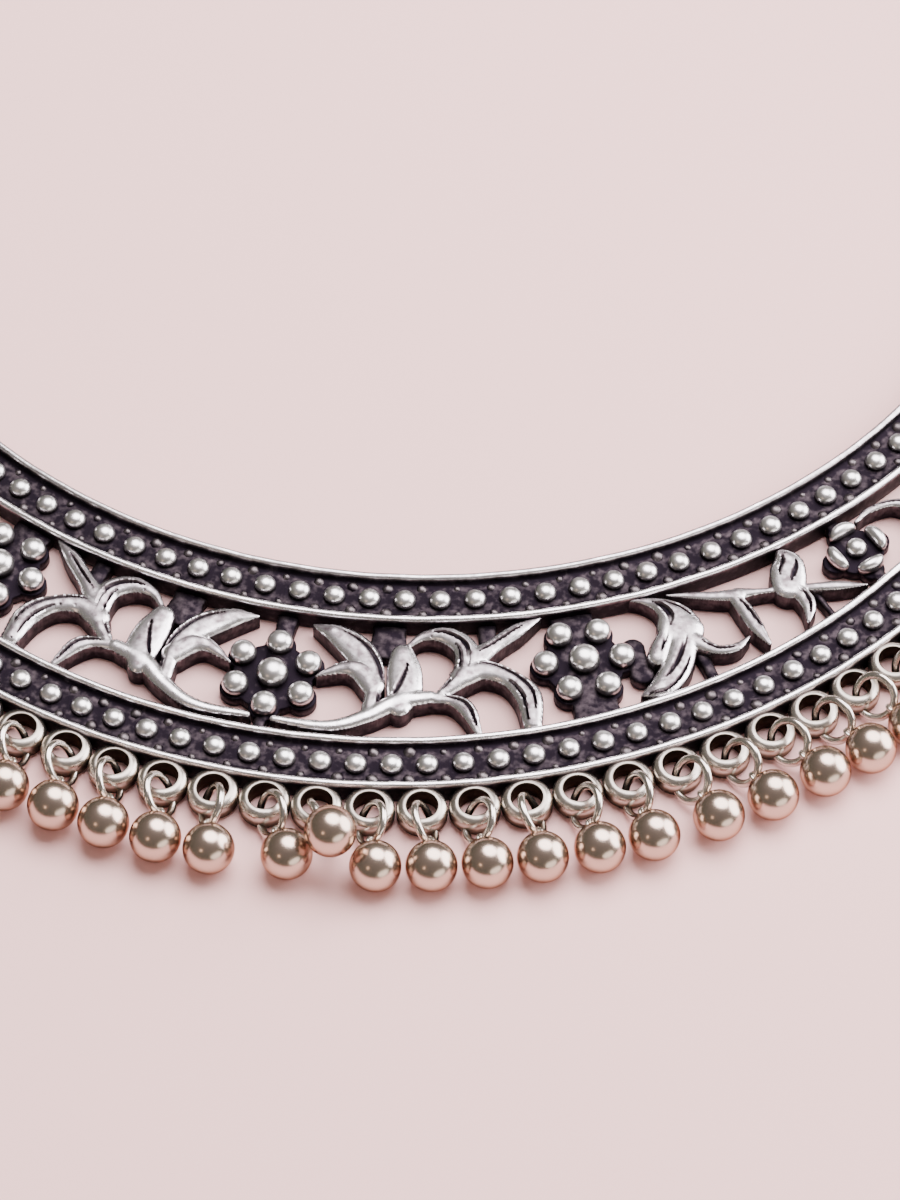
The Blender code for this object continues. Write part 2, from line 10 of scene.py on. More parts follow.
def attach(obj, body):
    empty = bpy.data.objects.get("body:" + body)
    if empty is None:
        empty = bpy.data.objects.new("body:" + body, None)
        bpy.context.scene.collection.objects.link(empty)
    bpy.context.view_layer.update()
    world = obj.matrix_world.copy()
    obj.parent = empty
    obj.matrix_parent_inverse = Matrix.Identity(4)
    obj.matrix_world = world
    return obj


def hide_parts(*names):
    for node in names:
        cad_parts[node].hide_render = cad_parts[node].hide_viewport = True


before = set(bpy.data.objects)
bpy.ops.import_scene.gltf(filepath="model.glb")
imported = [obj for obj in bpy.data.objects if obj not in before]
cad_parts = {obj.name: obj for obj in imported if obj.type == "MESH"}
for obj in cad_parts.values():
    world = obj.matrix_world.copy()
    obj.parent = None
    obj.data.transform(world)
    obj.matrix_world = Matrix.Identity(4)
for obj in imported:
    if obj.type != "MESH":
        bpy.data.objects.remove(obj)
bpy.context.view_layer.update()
dropNames = sorted(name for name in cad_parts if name.startswith("drop_"))
print("frame loaded,", len(dropNames), "drops")

mm = 0.001  # sizes below are in millimetres; the necklace lies on z = 0 with its front towards -y

plan = {
    "middleY": 15.057,  # middle of the inner rail's circle
    "innerRow": 62.0,
    "outerRow": 66.5,
    "outerForward": 14.2,
    "railWidth": 5.5,
    "flowerWays": (0.288, 0.588),  # shares of the way to the end of the rails
}


def outerRow(angle):
    across = plan["outerForward"] * np.sin(angle)
    return plan["outerForward"] * np.cos(angle) + np.sqrt(plan["outerRow"] ** 2 - across ** 2)


def spot(angle, radius, height=0.0, forward=0.0):
    # angle from the front towards +x, about the inner circle's middle, or further forward
    return Vector((radius * math.sin(angle), plan["middleY"] - forward - radius * math.cos(angle), height))


railEndRadius = plan["innerRow"] + plan["railWidth"]
railEnd = math.acos(
    (railEndRadius ** 2 + plan["outerForward"] ** 2 - plan["outerRow"] ** 2)
    / (2 * railEndRadius * plan["outerForward"])
)
outerEnd = math.atan2(
    railEndRadius * math.sin(railEnd), railEndRadius * math.cos(railEnd) - plan["outerForward"]
)
stations = (0.0, plan["flowerWays"][0] * railEnd, plan["flowerWays"][1] * railEnd, railEnd)


def panelSpot(station, share):
    first = min(int(station), 2)
    angle = stations[first] + (station - first) * (stations[first + 1] - stations[first])
    low = plan["innerRow"] + plan["railWidth"] / 2
    high = outerRow(angle) - plan["railWidth"] / 2
    return spot(angle, low + share * (high - low))


# node helpers


def nodeGroup(name, kind, ins, outs):
    # inputs: label, kind and start value; outputs: label and kind
    tree = bpy.data.node_groups.new(name, kind)
    for label, socketKind, value in ins:
        socket = tree.interface.new_socket(label, in_out="INPUT", socket_type="NodeSocket" + socketKind)
        if value is not None:
            socket.default_value = value
    for label, socketKind in outs:
        tree.interface.new_socket(label, in_out="OUTPUT", socket_type="NodeSocket" + socketKind)
    return tree, tree.nodes.new("NodeGroupInput").outputs, tree.nodes.new("NodeGroupOutput").inputs


def addNode(tree, kind, values=None, **settings):
    node = tree.nodes.new(kind)
    for key, value in settings.items():
        setattr(node, key, value)
    for key, value in (values or {}).items():
        if isinstance(value, bpy.types.NodeSocket):
            tree.links.new(value, node.inputs[key])
        else:
            node.inputs[key].default_value = value
    return node


def mathNode(tree, operation, *values, clamp=False):
    node = addNode(tree, "ShaderNodeMath", dict(enumerate(values)), operation=operation, use_clamp=clamp)
    return node.outputs[0]


def rampNode(tree, factor, stops):
    # stops from low to high: position and colour
    node = addNode(tree, "ShaderNodeValToRGB", {"Fac": factor})
    elements = node.color_ramp.elements
    for element, (position, colour) in zip((elements[0], elements[1]), (stops[0], stops[-1])):
        element.position = position
        element.color = (*colour, 1.0)
    for position, colour in stops[1:-1]:
        elements.new(position).color = (*colour, 1.0)
    return node.outputs["Color"]


# camera, floor and light

view = {
    "target": (14.28, -45.68, 2.4),
    "distance": 366.4,
    "elevation": 52.48,
    "azimuth": 10.25,
    "roll": 1.01,
    "lens": 120.0,
    "sensor": 36.0,
    "floorHalfSize": 1.5,
    "floorColour": (0.97, 0.605, 0.58),
    "floorRoughness": 0.85,
    "floorGloss": 0.2,
    "worldTop": (0.24, 0.215, 0.205),
    "worldSide": (0.135, 0.14, 0.112),
    "worldSideUpTo": 0.05, "worldTopFrom": 0.85,
    "worldStrength": 1.2,
    "lampAim": (0.0, -0.05, 0.0),
    # name, direction and distance from where the lamps aim, size, radiance, colour
    "lamps": (
        ("windowAbove", (0.11, 0.38, 0.92), 0.62, (0.62, 0.58), 10.6, (1.0, 0.945, 0.97)),
        ("windowRight", (0.82, 0.41, 0.39), 0.62, (0.62, 0.58), 10.6, (1.0, 0.945, 0.97)),
        ("warmLamp", (-0.37, -0.71, 0.60), 0.60, (0.10, 0.10), 4.0, (1.0, 0.70, 0.52)),
        ("softFront", (0.70, -0.66, 0.25), 0.70, (0.60, 0.30), 2.6, (1.0, 0.92, 0.86)),
    ),
}


def lookAt(place, target):
    return (Vector(target) - Vector(place)).to_track_quat("-Z", "Y").to_matrix().to_4x4()


def addCamera():
    elevation, azimuth, roll = (math.radians(view[key]) for key in ("elevation", "azimuth", "roll"))
    forward = Vector((
        -math.sin(azimuth) * math.cos(elevation), math.cos(azimuth) * math.cos(elevation),
        -math.sin(elevation),
    ))
    right = Vector((math.cos(azimuth), math.sin(azimuth), 0.0))
    up = right.cross(forward)
    turnedRight = right * math.cos(roll) + up * math.sin(roll)
    turnedUp = up * math.cos(roll) - right * math.sin(roll)
    data = bpy.data.cameras.new("camera")
    data.sensor_fit = "VERTICAL"
    data.sensor_height = view["sensor"]
    data.lens = view["lens"]
    data.clip_start = 0.01
    camera = bpy.data.objects.new("camera", data)
    place = (Vector(view["target"]) - forward * view["distance"]) * mm
    basis = Matrix((turnedRight, turnedUp, -forward)).transposed().to_4x4()
    camera.matrix_world = Matrix.Translation(place) @ basis
    bpy.context.scene.collection.objects.link(camera)
    bpy.context.scene.camera = camera


def addFloorAndLight():
    bm = bmesh.new()
    bmesh.ops.create_grid(bm, x_segments=8, y_segments=8, size=view["floorHalfSize"])
    mesh = bpy.data.meshes.new("floor")
    bm.to_mesh(mesh)
    bm.free()
    floor = bpy.data.objects.new("floor", mesh)
    bpy.context.scene.collection.objects.link(floor)
    material = bpy.data.materials.new("paleFloor")
    material.use_nodes = True
    shader = material.node_tree.nodes["Principled BSDF"].inputs
    shader["Base Color"].default_value = (*view["floorColour"], 1.0)
    shader["Roughness"].default_value = view["floorRoughness"]
    shader["Specular IOR Level"].default_value = view["floorGloss"]
    mesh.materials.append(material)
    aim = Vector(view["lampAim"])
    for name, direction, distance, size, radiance, colour in view["lamps"]:
        data = bpy.data.lights.new(name, "AREA")
        data.shape = "ELLIPSE"
        data.size, data.size_y = size
        data.energy = radiance * math.pi * size[0] * size[1] * math.pi / 4
        data.color = colour
        place = aim + Vector(direction).normalized() * distance
        lamp = bpy.data.objects.new(name, data)
        lamp.matrix_world = Matrix.Translation(place) @ lookAt(place, aim)
        bpy.context.scene.collection.objects.link(lamp)
    world = bpy.data.worlds.new("softRoom")
    bpy.context.scene.world = world
    world.use_nodes = True
    tree = world.node_tree
    outwards = addNode(tree, "ShaderNodeTexCoord").outputs["Generated"]
    height = addNode(tree, "ShaderNodeSeparateXYZ", {"Vector": outwards}).outputs["Z"]
    glow = rampNode(
        tree, height, ((view["worldSideUpTo"], view["worldSide"]), (view["worldTopFrom"], view["worldTop"]))
    )
    background = tree.nodes["Background"].inputs
    background["Strength"].default_value = view["worldStrength"]
    tree.links.new(glow, background["Color"])


addCamera()
addFloorAndLight()
print("camera, floor and light set")

# silver finishes

surface = {
    "brightUpTo": 0.08, "betweenAt": 0.5, "blackFrom": 0.95,  # shares of patina and painted shade for the three colours
    "patchDetail": 4.0, "grainDetail": 3.0, "slowDetail": 2.0, "noiseRoughness": 0.55,
    "slowGrainScale": 420.0, "slowGrainShare": 1.6,
    "grainDepth": 0.00006,
}


def noiseNode(tree, vector, scale, detail):
    values = {"Vector": vector, "Scale": scale, "Detail": detail, "Roughness": surface["noiseRoughness"]}
    return addNode(tree, "ShaderNodeTexNoise", values).outputs["Fac"]


def makeTarnishAndShadeGroup():
    # how black the surface is: patina in the shape's own recesses plus painted shade on some tops, roughened
    # by patches that wear and polish left
    tree, ins, outs = nodeGroup(
        "tarnishAndShade", "ShaderNodeTree",
        (
            ("Vector", "Vector", None), ("PatinaShade", "Float", 0.0),
            ("Patch Scale", "Float", 900.0), ("Patch Strength", "Float", 0.3),
        ),
        (("Mask", "Float"), ("Patches", "Float")),
    )
    patches = noiseNode(tree, ins["Vector"], ins["Patch Scale"], surface["patchDetail"])
    centred = mathNode(tree, "SUBTRACT", patches, 0.5)
    moved = mathNode(tree, "MULTIPLY_ADD", centred, ins["Patch Strength"], ins["PatinaShade"], clamp=True)
    tree.links.new(moved, outs["Mask"])
    tree.links.new(patches, outs["Patches"])
    return tree


def makeCastGrainGroup():
    # the fine unevenness of cast and hand-polished metal
    tree, ins, outs = nodeGroup(
        "castGrain", "ShaderNodeTree",
        (("Vector", "Vector", None), ("Grain Scale", "Float", 2500.0)), (("Height", "Float"),),
    )
    fine = noiseNode(tree, ins["Vector"], ins["Grain Scale"], surface["grainDetail"])
    slow = noiseNode(tree, ins["Vector"], surface["slowGrainScale"], surface["slowDetail"])
    tree.links.new(mathNode(tree, "MULTIPLY_ADD", slow, surface["slowGrainShare"], fine), outs["Height"])
    return tree


tarnishAndShade = makeTarnishAndShadeGroup()
castGrain = makeCastGrainGroup()


def silverMaterial(name, look):
    material = bpy.data.materials.new(name)
    material.use_nodes = True
    tree = material.node_tree
    shader = tree.nodes["Principled BSDF"].inputs
    shader["Metallic"].default_value = 1.0
    shader["Specular Tint"].default_value = (*look["edgeTint"], 1.0)
    place = addNode(tree, "ShaderNodeTexCoord").outputs["Object"]
    # per-point darkness: patina in recesses, plus painted shade where a piece asks for it
    patinaShade = addNode(tree, "ShaderNodeAttribute", attribute_name="blackening").outputs["Fac"]
    wornAndShaded = addNode(tree, "ShaderNodeGroup", {
        "Vector": place, "PatinaShade": patinaShade,
        "Patch Scale": look["patchScale"], "Patch Strength": look["patchStrength"],
    }, node_tree=tarnishAndShade).outputs
    colour = rampNode(tree, wornAndShaded["Mask"], (
        (surface["brightUpTo"], look["bright"]), (surface["betweenAt"], look["between"]),
        (surface["blackFrom"], look["black"]),
    ))
    tree.links.new(colour, shader["Base Color"])
    rough = addNode(tree, "ShaderNodeMapRange", {
        "Value": wornAndShaded["Mask"], "To Min": look["roughBright"], "To Max": look["roughBlack"],
    }).outputs["Result"]
    uneven = mathNode(tree, "MULTIPLY_ADD", wornAndShaded["Patches"], look["roughUneven"], rough, clamp=True)
    tree.links.new(uneven, shader["Roughness"])
    grain = addNode(tree, "ShaderNodeGroup", {
        "Vector": place, "Grain Scale": look["grainScale"],
    }, node_tree=castGrain).outputs["Height"]
    bump = addNode(tree, "ShaderNodeBump", {
        "Strength": look["bump"], "Distance": surface["grainDepth"], "Height": grain,
    }).outputs["Normal"]
    tree.links.new(bump, shader["Normal"])
    return material


finishes = {
    "blackenedSilver": {
        "bright": (0.88, 0.85, 0.87), "between": (0.15, 0.12, 0.13), "black": (0.011, 0.008, 0.012),
        "patchScale": 1300.0, "patchStrength": 0.50, "roughBright": 0.19, "roughBlack": 0.50,
        "roughUneven": 0.12, "grainScale": 2600.0, "bump": 0.30, "edgeTint": (1.0, 1.0, 1.0),
    },
    "satinSilver": {
        "bright": (0.74, 0.72, 0.715), "between": (0.15, 0.13, 0.135), "black": (0.008, 0.005, 0.009),
        "patchScale": 700.0, "patchStrength": 0.14, "roughBright": 0.25, "roughBlack": 0.50,
        "roughUneven": 0.08, "grainScale": 3000.0, "bump": 0.12, "edgeTint": (1.0, 1.0, 1.0),
    },
    "castSilver": {
        "bright": (0.55, 0.50, 0.445), "between": (0.13, 0.11, 0.09), "black": (0.014, 0.010, 0.009),
        "patchScale": 600.0, "patchStrength": 0.30, "roughBright": 0.20, "roughBlack": 0.45,
        "roughUneven": 0.10, "grainScale": 2200.0, "bump": 0.20, "edgeTint": (0.8, 0.7, 0.6),
    },
    "mirrorSilver": {
        "bright": (0.55, 0.43, 0.355), "between": (0.42, 0.33, 0.27), "black": (0.10, 0.07, 0.06),
        "patchScale": 500.0, "patchStrength": 0.10, "roughBright": 0.20, "roughBlack": 0.30,
        "roughUneven": 0.05, "grainScale": 1400.0, "bump": 0.05, "edgeTint": (0.52, 0.36, 0.29),
    },
    "wireSilver": {
        "bright": (0.78, 0.72, 0.66), "between": (0.22, 0.19, 0.165), "black": (0.03, 0.025, 0.02),
        "patchScale": 700.0, "patchStrength": 0.30, "roughBright": 0.10, "roughBlack": 0.40,
        "roughUneven": 0.08, "grainScale": 2200.0, "bump": 0.15, "edgeTint": (0.9, 0.8, 0.7),
    },
}
materials = {name: silverMaterial(name, look) for name, look in finishes.items()}
print("finishes made")

# mesh helpers

sameSpot = 5e-7  # metres between points that count as one
wireBlackening = 0.2


def meshPiece(name, points, faces, blackening, sharp=None, finish=None):
    mesh = bpy.data.meshes.new(name)
    mesh.from_pydata([tuple(p) for p in np.asarray(points, dtype=float) * mm], [], faces)
    layer = mesh.attributes.new("blackening", "FLOAT", "POINT")
    layer.data.foreach_set("value", np.asarray(blackening, dtype=np.float32))
    mesh.update()
    mesh.shade_smooth()
    if sharp:
        mesh.set_sharp_from_angle(angle=math.radians(sharp))
    piece = bpy.data.objects.new(name, mesh)
    bpy.context.scene.collection.objects.link(piece)
    if finish:
        mesh.materials.append(materials[finish])
    return piece


def outward(piece):
    bm = bmesh.new()
    bm.from_mesh(piece.data)
    bmesh.ops.remove_doubles(bm, verts=bm.verts, dist=sameSpot)
    bmesh.ops.recalc_face_normals(bm, faces=bm.faces)
    bm.to_mesh(piece.data)
    bm.free()
    return piece


def tubeFaces(ringCount, sides, closed=False):
    faces = []
    for k in range(ringCount if closed else ringCount - 1):
        n = (k + 1) % ringCount
        for i in range(sides):
            j = (i + 1) % sides
            faces.append((k * sides + i, k * sides + j, n * sides + j, n * sides + i))
    if not closed:
        faces.append(tuple(reversed(range(sides))))
        faces.append(tuple(range((ringCount - 1) * sides, ringCount * sides)))
    return faces


def smoothRoute(points, steps):
    points = np.array(points, dtype=float)
    chain = np.vstack((2 * points[0] - points[1], points, 2 * points[-1] - points[-2]))
    route = []
    for k in range(1, len(chain) - 2):
        a, b, c, d = chain[k - 1:k + 3]
        for step in range(steps):
            t = step / steps
            route.append(
                0.5 * (
                    2 * b + (c - a) * t + (2 * a - 5 * b + 4 * c - d) * t ** 2
                    + (3 * b - a - 3 * c + d) * t ** 3
                )
            )
    route.append(points[-1])
    return np.array(route)


def finishPiece(piece, slotName, *nodes):
    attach(piece, "root")
    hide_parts(*nodes)


# rails: two rounded rims with a sunk, blackened channel between them

rail = {
    # half of the section, from the underside's middle out and over: across, up, blackening
    "section": (
        (0.00, 0.00, 0.8), (2.55, 0.00, 0.8), (2.70, 0.08, 0.85), (2.75, 0.22, 0.9), (2.75, 1.10, 1.0),
        (2.75, 1.90, 0.95), (2.74, 2.12, 0.50), (2.69, 2.31, 0.02), (2.57, 2.41, 0.0), (2.42, 2.44, 0.0),
        (2.22, 2.41, 0.0), (2.11, 2.30, 0.06), (2.04, 2.10, 0.85), (1.99, 1.88, 1.0), (1.90, 1.72, 1.0),
        (1.74, 1.64, 1.0), (1.40, 1.60, 0.90), (0.90, 1.60, 0.91), (0.00, 1.60, 0.98),
    ),
    "step": 0.35,
    "unevenWidth": 0.035,
    "unevenHeight": 0.035,
    "seed": 7,
    "wobbleBends": (9, 3), "liftBends": 7,  # steps between bends of the rims' unevenness
    "rimFrom": 2.05, "rimFade": 0.2,  # across: where the uneven rims begin
    "rimLow": 1.6, "rimRise": 0.5,  # up: the same
    "sideFrom": 2.45, "sideShare": 0.25,  # the outer sides move less
    "neckRimShade": 0.24, "neckRimFrom": 2.1,  # painted shade on the rim towards the neck, and where that rim starts across
}


def slowNoise(count, spacing, seed):
    # a smooth random line from -1 to 1 with bends about every spacing steps
    source = np.random.default_rng(seed)
    knots = source.uniform(-1, 1, int(count / spacing) + 4)
    at = np.arange(count) / spacing
    low = at.astype(int)
    share = at - low
    share = share * share * (3 - 2 * share)
    return knots[low] * (1 - share) + knots[low + 1] * share


def makeRail(name, radius, forward, endAngle, seed, neckRimShade=0.0):
    half = np.array(rail["section"])
    section = np.vstack((half, half[-2:0:-1] * (-1, 1, 1)))
    count = int(2 * endAngle * radius / rail["step"])
    angles = np.linspace(-endAngle, endAngle, count + 1)
    sides = len(section)
    points = np.zeros((count + 1, sides, 3))
    dark = np.zeros((count + 1, sides))
    long, short = rail["wobbleBends"]
    wobble, lift = {}, {}
    for side in (1, 2):
        wobble[side] = slowNoise(count + 1, long, seed + side)
        wobble[side] = wobble[side] + 0.5 * slowNoise(count + 1, short, seed + side + 5)
        lift[side] = slowNoise(count + 1, rail["liftBends"], seed + side + 20)
    for i, (across, up, black) in enumerate(section):
        side = 1 if across >= 0 else 2
        rimShare = min(max((abs(across) - rail["rimFrom"]) / rail["rimFade"], 0), 1)
        rimShare = rimShare * min(max((up - rail["rimLow"]) / rail["rimRise"], 0), 1)
        inward = 1.0 if abs(across) < rail["sideFrom"] else rail["sideShare"]
        r = radius + across + np.sign(across) * wobble[side] * rail["unevenWidth"] * rimShare * inward
        z = up + lift[side] * rail["unevenHeight"] * rimShare
        points[:, i, 0] = r * np.sin(angles)
        points[:, i, 1] = plan["middleY"] - forward - r * np.cos(angles)
        points[:, i, 2] = z
        # the rim towards the neck gets painted shade
        dark[:, i] = max(black, neckRimShade) if across < -rail["neckRimFrom"] else black
    faces = tubeFaces(count + 1, sides)
    return outward(meshPiece(name, points.reshape(-1, 3), faces, dark.ravel(), 50.0, "blackenedSilver"))


innerRail = makeRail("innerRail", plan["innerRow"], 0.0, railEnd, rail["seed"], rail["neckRimShade"])
outerRail = makeRail("outerRail", plan["outerRow"], plan["outerForward"], outerEnd, rail["seed"] + 40)
print("rails made")

# geometry node trees: a row of copies on a circle, and copies hung on hooks


def randomValue(tree, low, high, seed):
    node = addNode(tree, "FunctionNodeRandomValue", data_type="FLOAT")
    ends = [socket for socket in node.inputs if socket.type == "VALUE" and socket.name in ("Min", "Max")]
    for source, socket in ((low, ends[0]), (high, ends[1]), (seed, node.inputs["Seed"])):
        tree.links.new(source, socket)
    return next(socket for socket in node.outputs if socket.type == "VALUE")


def placeCopies(tree, ins, outs, points, turn, size):
    shape = addNode(tree, "GeometryNodeObjectInfo", {"Object": ins["Copy"]}).outputs["Geometry"]
    rotation = addNode(tree, "FunctionNodeEulerToRotation", {"Euler": turn}).outputs["Rotation"]
    copies = addNode(tree, "GeometryNodeInstanceOnPoints", {
        "Points": points, "Instance": shape, "Rotation": rotation, "Scale": size,
    }).outputs["Instances"]
    real = addNode(tree, "GeometryNodeRealizeInstances", {"Geometry": copies}).outputs["Geometry"]
    painted = addNode(tree, "GeometryNodeSetMaterial", {"Geometry": real, "Material": ins["Material"]})
    tree.links.new(painted.outputs["Geometry"], outs["Geometry"])
    return tree


def makeRowTree():
    tree, ins, outs = nodeGroup(
        "rowOnCircle", "GeometryNodeTree",
        (
            ("Geometry", "Geometry", None), ("Copy", "Object", None), ("Radius", "Float", 0.06),
            ("Middle Y", "Float", 0.0), ("Height", "Float", 0.0), ("First Angle", "Float", 0.0),
            ("Step Angle", "Float", 0.05), ("Count", "Int", 10), ("Tilt", "Float", 0.0),
            ("Size Change", "Float", 0.0), ("Seed", "Int", 0), ("Material", "Material", None),
        ),
        (("Geometry", "Geometry"),),
    )
    line = addNode(tree, "GeometryNodeMeshLine", {"Count": ins["Count"]}).outputs["Mesh"]
    index = addNode(tree, "GeometryNodeInputIndex").outputs["Index"]
    angle = mathNode(tree, "MULTIPLY_ADD", index, ins["Step Angle"], ins["First Angle"])
    x = mathNode(tree, "MULTIPLY", mathNode(tree, "SINE", angle), ins["Radius"])
    back = mathNode(tree, "MULTIPLY", mathNode(tree, "COSINE", angle), ins["Radius"])
    y = mathNode(tree, "SUBTRACT", ins["Middle Y"], back)
    place = addNode(tree, "ShaderNodeCombineXYZ", {"X": x, "Y": y, "Z": ins["Height"]}).outputs["Vector"]
    moved = addNode(tree, "GeometryNodeSetPosition", {"Geometry": line, "Position": place})
    low = mathNode(tree, "MULTIPLY", ins["Tilt"], -1.0)
    tilts = []
    for shift in (1, 2, 3):
        tilts.append(randomValue(tree, low, ins["Tilt"], mathNode(tree, "ADD", ins["Seed"], shift)))
    turn = addNode(tree, "ShaderNodeCombineXYZ", {
        "X": tilts[0], "Y": tilts[1], "Z": mathNode(tree, "ADD", angle, tilts[2]),
    }).outputs["Vector"]
    smallest = mathNode(tree, "SUBTRACT", 1.0, ins["Size Change"])
    largest = mathNode(tree, "ADD", 1.0, ins["Size Change"])
    size = randomValue(tree, smallest, largest, ins["Seed"])
    return placeCopies(tree, ins, outs, moved.outputs["Geometry"], turn, size)


def makeHookTree():
    # the copies hang on the points of a mesh, turned by its "turn" and sized by its "size"
    tree, ins, outs = nodeGroup(
        "copiesOnHooks", "GeometryNodeTree",
        (("Geometry", "Geometry", None), ("Copy", "Object", None), ("Material", "Material", None)),
        (("Geometry", "Geometry"),),
    )
    turn = addNode(tree, "GeometryNodeInputNamedAttribute", {"Name": "turn"}, data_type="FLOAT_VECTOR")
    size = addNode(tree, "GeometryNodeInputNamedAttribute", {"Name": "size"}, data_type="FLOAT")
    return placeCopies(
        tree, ins, outs, ins["Geometry"], turn.outputs["Attribute"], size.outputs["Attribute"]
    )


rowOnCircle = makeRowTree()
copiesOnHooks = makeHookTree()


def runTree(name, tree, base, inputs):
    holder = bpy.data.objects.new(name, base or bpy.data.meshes.new(name))
    bpy.context.scene.collection.objects.link(holder)
    modifier = holder.modifiers.new(name, "NODES")
    modifier.node_group = tree
    for socket in tree.interface.items_tree:
        if socket.item_type == "SOCKET" and socket.in_out == "INPUT" and socket.name in inputs:
            modifier[socket.identifier] = inputs[socket.name]
    bpy.context.view_layer.update()
    graph = bpy.context.evaluated_depsgraph_get()
    mesh = bpy.data.meshes.new_from_object(holder.evaluated_get(graph), depsgraph=graph)
    holder.modifiers.remove(modifier)
    holder.data = mesh
    mesh.name = name
    return holder


def makeRow(name, copy, finish, radius, forward, height, angles, tilt, sizeChange, seed):
    first, step, count = angles
    return runTree(name, rowOnCircle, None, {
        "Copy": copy, "Radius": radius * mm, "Middle Y": (plan["middleY"] - forward) * mm,
        "Height": height * mm, "First Angle": first, "Step Angle": step, "Count": count,
        "Tilt": tilt, "Size Change": sizeChange, "Seed": seed, "Material": materials[finish],
    })


def hangCopies(name, copy, finish, places, turns, sizes):
    hooks = bpy.data.meshes.new(name + "Hooks")
    hooks.from_pydata([tuple(Vector(p) * mm) for p in places], [], [])
    turnLayer = hooks.attributes.new("turn", "FLOAT_VECTOR", "POINT")
    turnLayer.data.foreach_set("vector", np.array(turns, dtype=np.float32).ravel())
    sizeLayer = hooks.attributes.new("size", "FLOAT", "POINT")
    sizeLayer.data.foreach_set("value", np.array(sizes, dtype=np.float32))
    return runTree(name, copiesOnHooks, hooks, {"Copy": copy, "Material": materials[finish]})


def lathe(name, profile, sides):
    # profile rows: radius, height, blackening; a radius of 0 closes the end
    points, dark, faces, rows = [], [], [], []
    for radius, height, black in profile:
        if radius == 0:
            rows.append([len(points)])
            points.append((0, 0, height))
            dark.append(black)
            continue
        rows.append(list(range(len(points), len(points) + sides)))
        for i in range(sides):
            turn = 2 * math.pi * i / sides
            points.append((radius * math.cos(turn), radius * math.sin(turn), height))
            dark.append(black)
    for one, two in zip(rows, rows[1:]):
        for i in range(sides):
            j = (i + 1) % sides
            corners = (one[i % len(one)], one[j % len(one)], two[j % len(two)], two[i % len(two)])
            faces.append(tuple(dict.fromkeys(corners)))
    return meshPiece(name, points, faces, dark, sharp=60.0)


def torusMesh(name, radius, wire, sides, wireSides):
    # a ring in the x-z plane about the origin
    points = []
    for i in range(sides):
        turn = 2 * math.pi * i / sides
        for j in range(wireSides):
            lean = 2 * math.pi * j / wireSides
            out = radius + wire * math.cos(lean)
            points.append((out * math.cos(turn), wire * math.sin(lean), out * math.sin(turn)))
    dark = [wireBlackening] * len(points)
    return outward(meshPiece(name, points, tubeFaces(sides, wireSides, closed=True), dark))


def dropCopies(*copies):
    for copy in copies:
        bpy.data.objects.remove(copy, do_unlink=True)


# beads and grains in the rails' channels

bead = {
    "radius": 1.04,
    "seatHeight": 1.45,
    # share of the radius, share of the radius up, blackening
    "profile": (
        (0.0, 0.0, 1.0), (0.94, 0.0, 1.0), (0.97, 0.12, 1.0), (1.0, 0.30, 0.75), (0.97, 0.52, 0.15),
        (0.86, 0.76, 0.02), (0.66, 0.96, 0.0), (0.40, 1.08, 0.0), (0.16, 1.13, 0.0), (0.0, 1.14, 0.0),
    ),
    "sides": 16,
    "innerFirst": 15.40, "innerPitch": 3.0, "innerEndGap": 1.4,  # degrees
    "outerFirst": 19.22, "outerPitch": 2.755, "outerEndGap": 1.3,
    "tilt": 0.05,
    "sizeChange": 0.025,
    "seed": 11,
}
grain = {
    "radius": 0.47,
    # share of the radius, up, blackening
    "profile": ((1.15, -0.1, 1.0), (1.0, 0.0, 0.9), (0.75, 0.156, 0.62), (0.0, 0.26, 0.52)),
    "across": 1.46,
    "seatHeight": 1.58,
    "sides": 7,
    "tilt": 0.35,
    "sizeChange": 0.35,
    "seeds": (23, 31),
}


def rowAngles(first, pitch, end):
    # every place of the row inside the ends, as first angle, step and count, in radians
    below = math.floor((end + first) / pitch)
    above = math.floor((end - first) / pitch)
    return math.radians(first - below * pitch), math.radians(pitch), below + above + 1


beadProfile = [(r * bead["radius"], up * bead["radius"], black) for r, up, black in bead["profile"]]
beadCopy = lathe("beadCopy", beadProfile, bead["sides"])
grainProfile = [(r * grain["radius"], up, black) for r, up, black in grain["profile"]]
grainCopy = lathe("grainCopy", grainProfile, grain["sides"])
rowsMade = []
for tag, radius, forward, railStop in (
    ("inner", plan["innerRow"], 0.0, railEnd),
    ("outer", plan["outerRow"], plan["outerForward"], outerEnd),
):
    end = math.degrees(railStop) - bead[tag + "EndGap"]
    angles = rowAngles(bead[tag + "First"], bead[tag + "Pitch"], end)
    rowsMade.append(makeRow(
        tag + "Beads", beadCopy, "satinSilver", radius, forward, bead["seatHeight"], angles,
        bead["tilt"], bead["sizeChange"], bead["seed"],
    ))
    between = (angles[0] + angles[1] / 2, angles[1], angles[2] - 1)
    for side, across, seed in zip(("Near", "Far"), (grain["across"], -grain["across"]), grain["seeds"]):
        rowsMade.append(makeRow(
            tag + "Grains" + side, grainCopy, "satinSilver", radius + across, forward,
            grain["seatHeight"], between, grain["tilt"], grain["sizeChange"], seed,
        ))
dropCopies(beadCopy, grainCopy)
print("bead rows made")

# scroll panel: one cast relief, from a field of heights on a fine grid

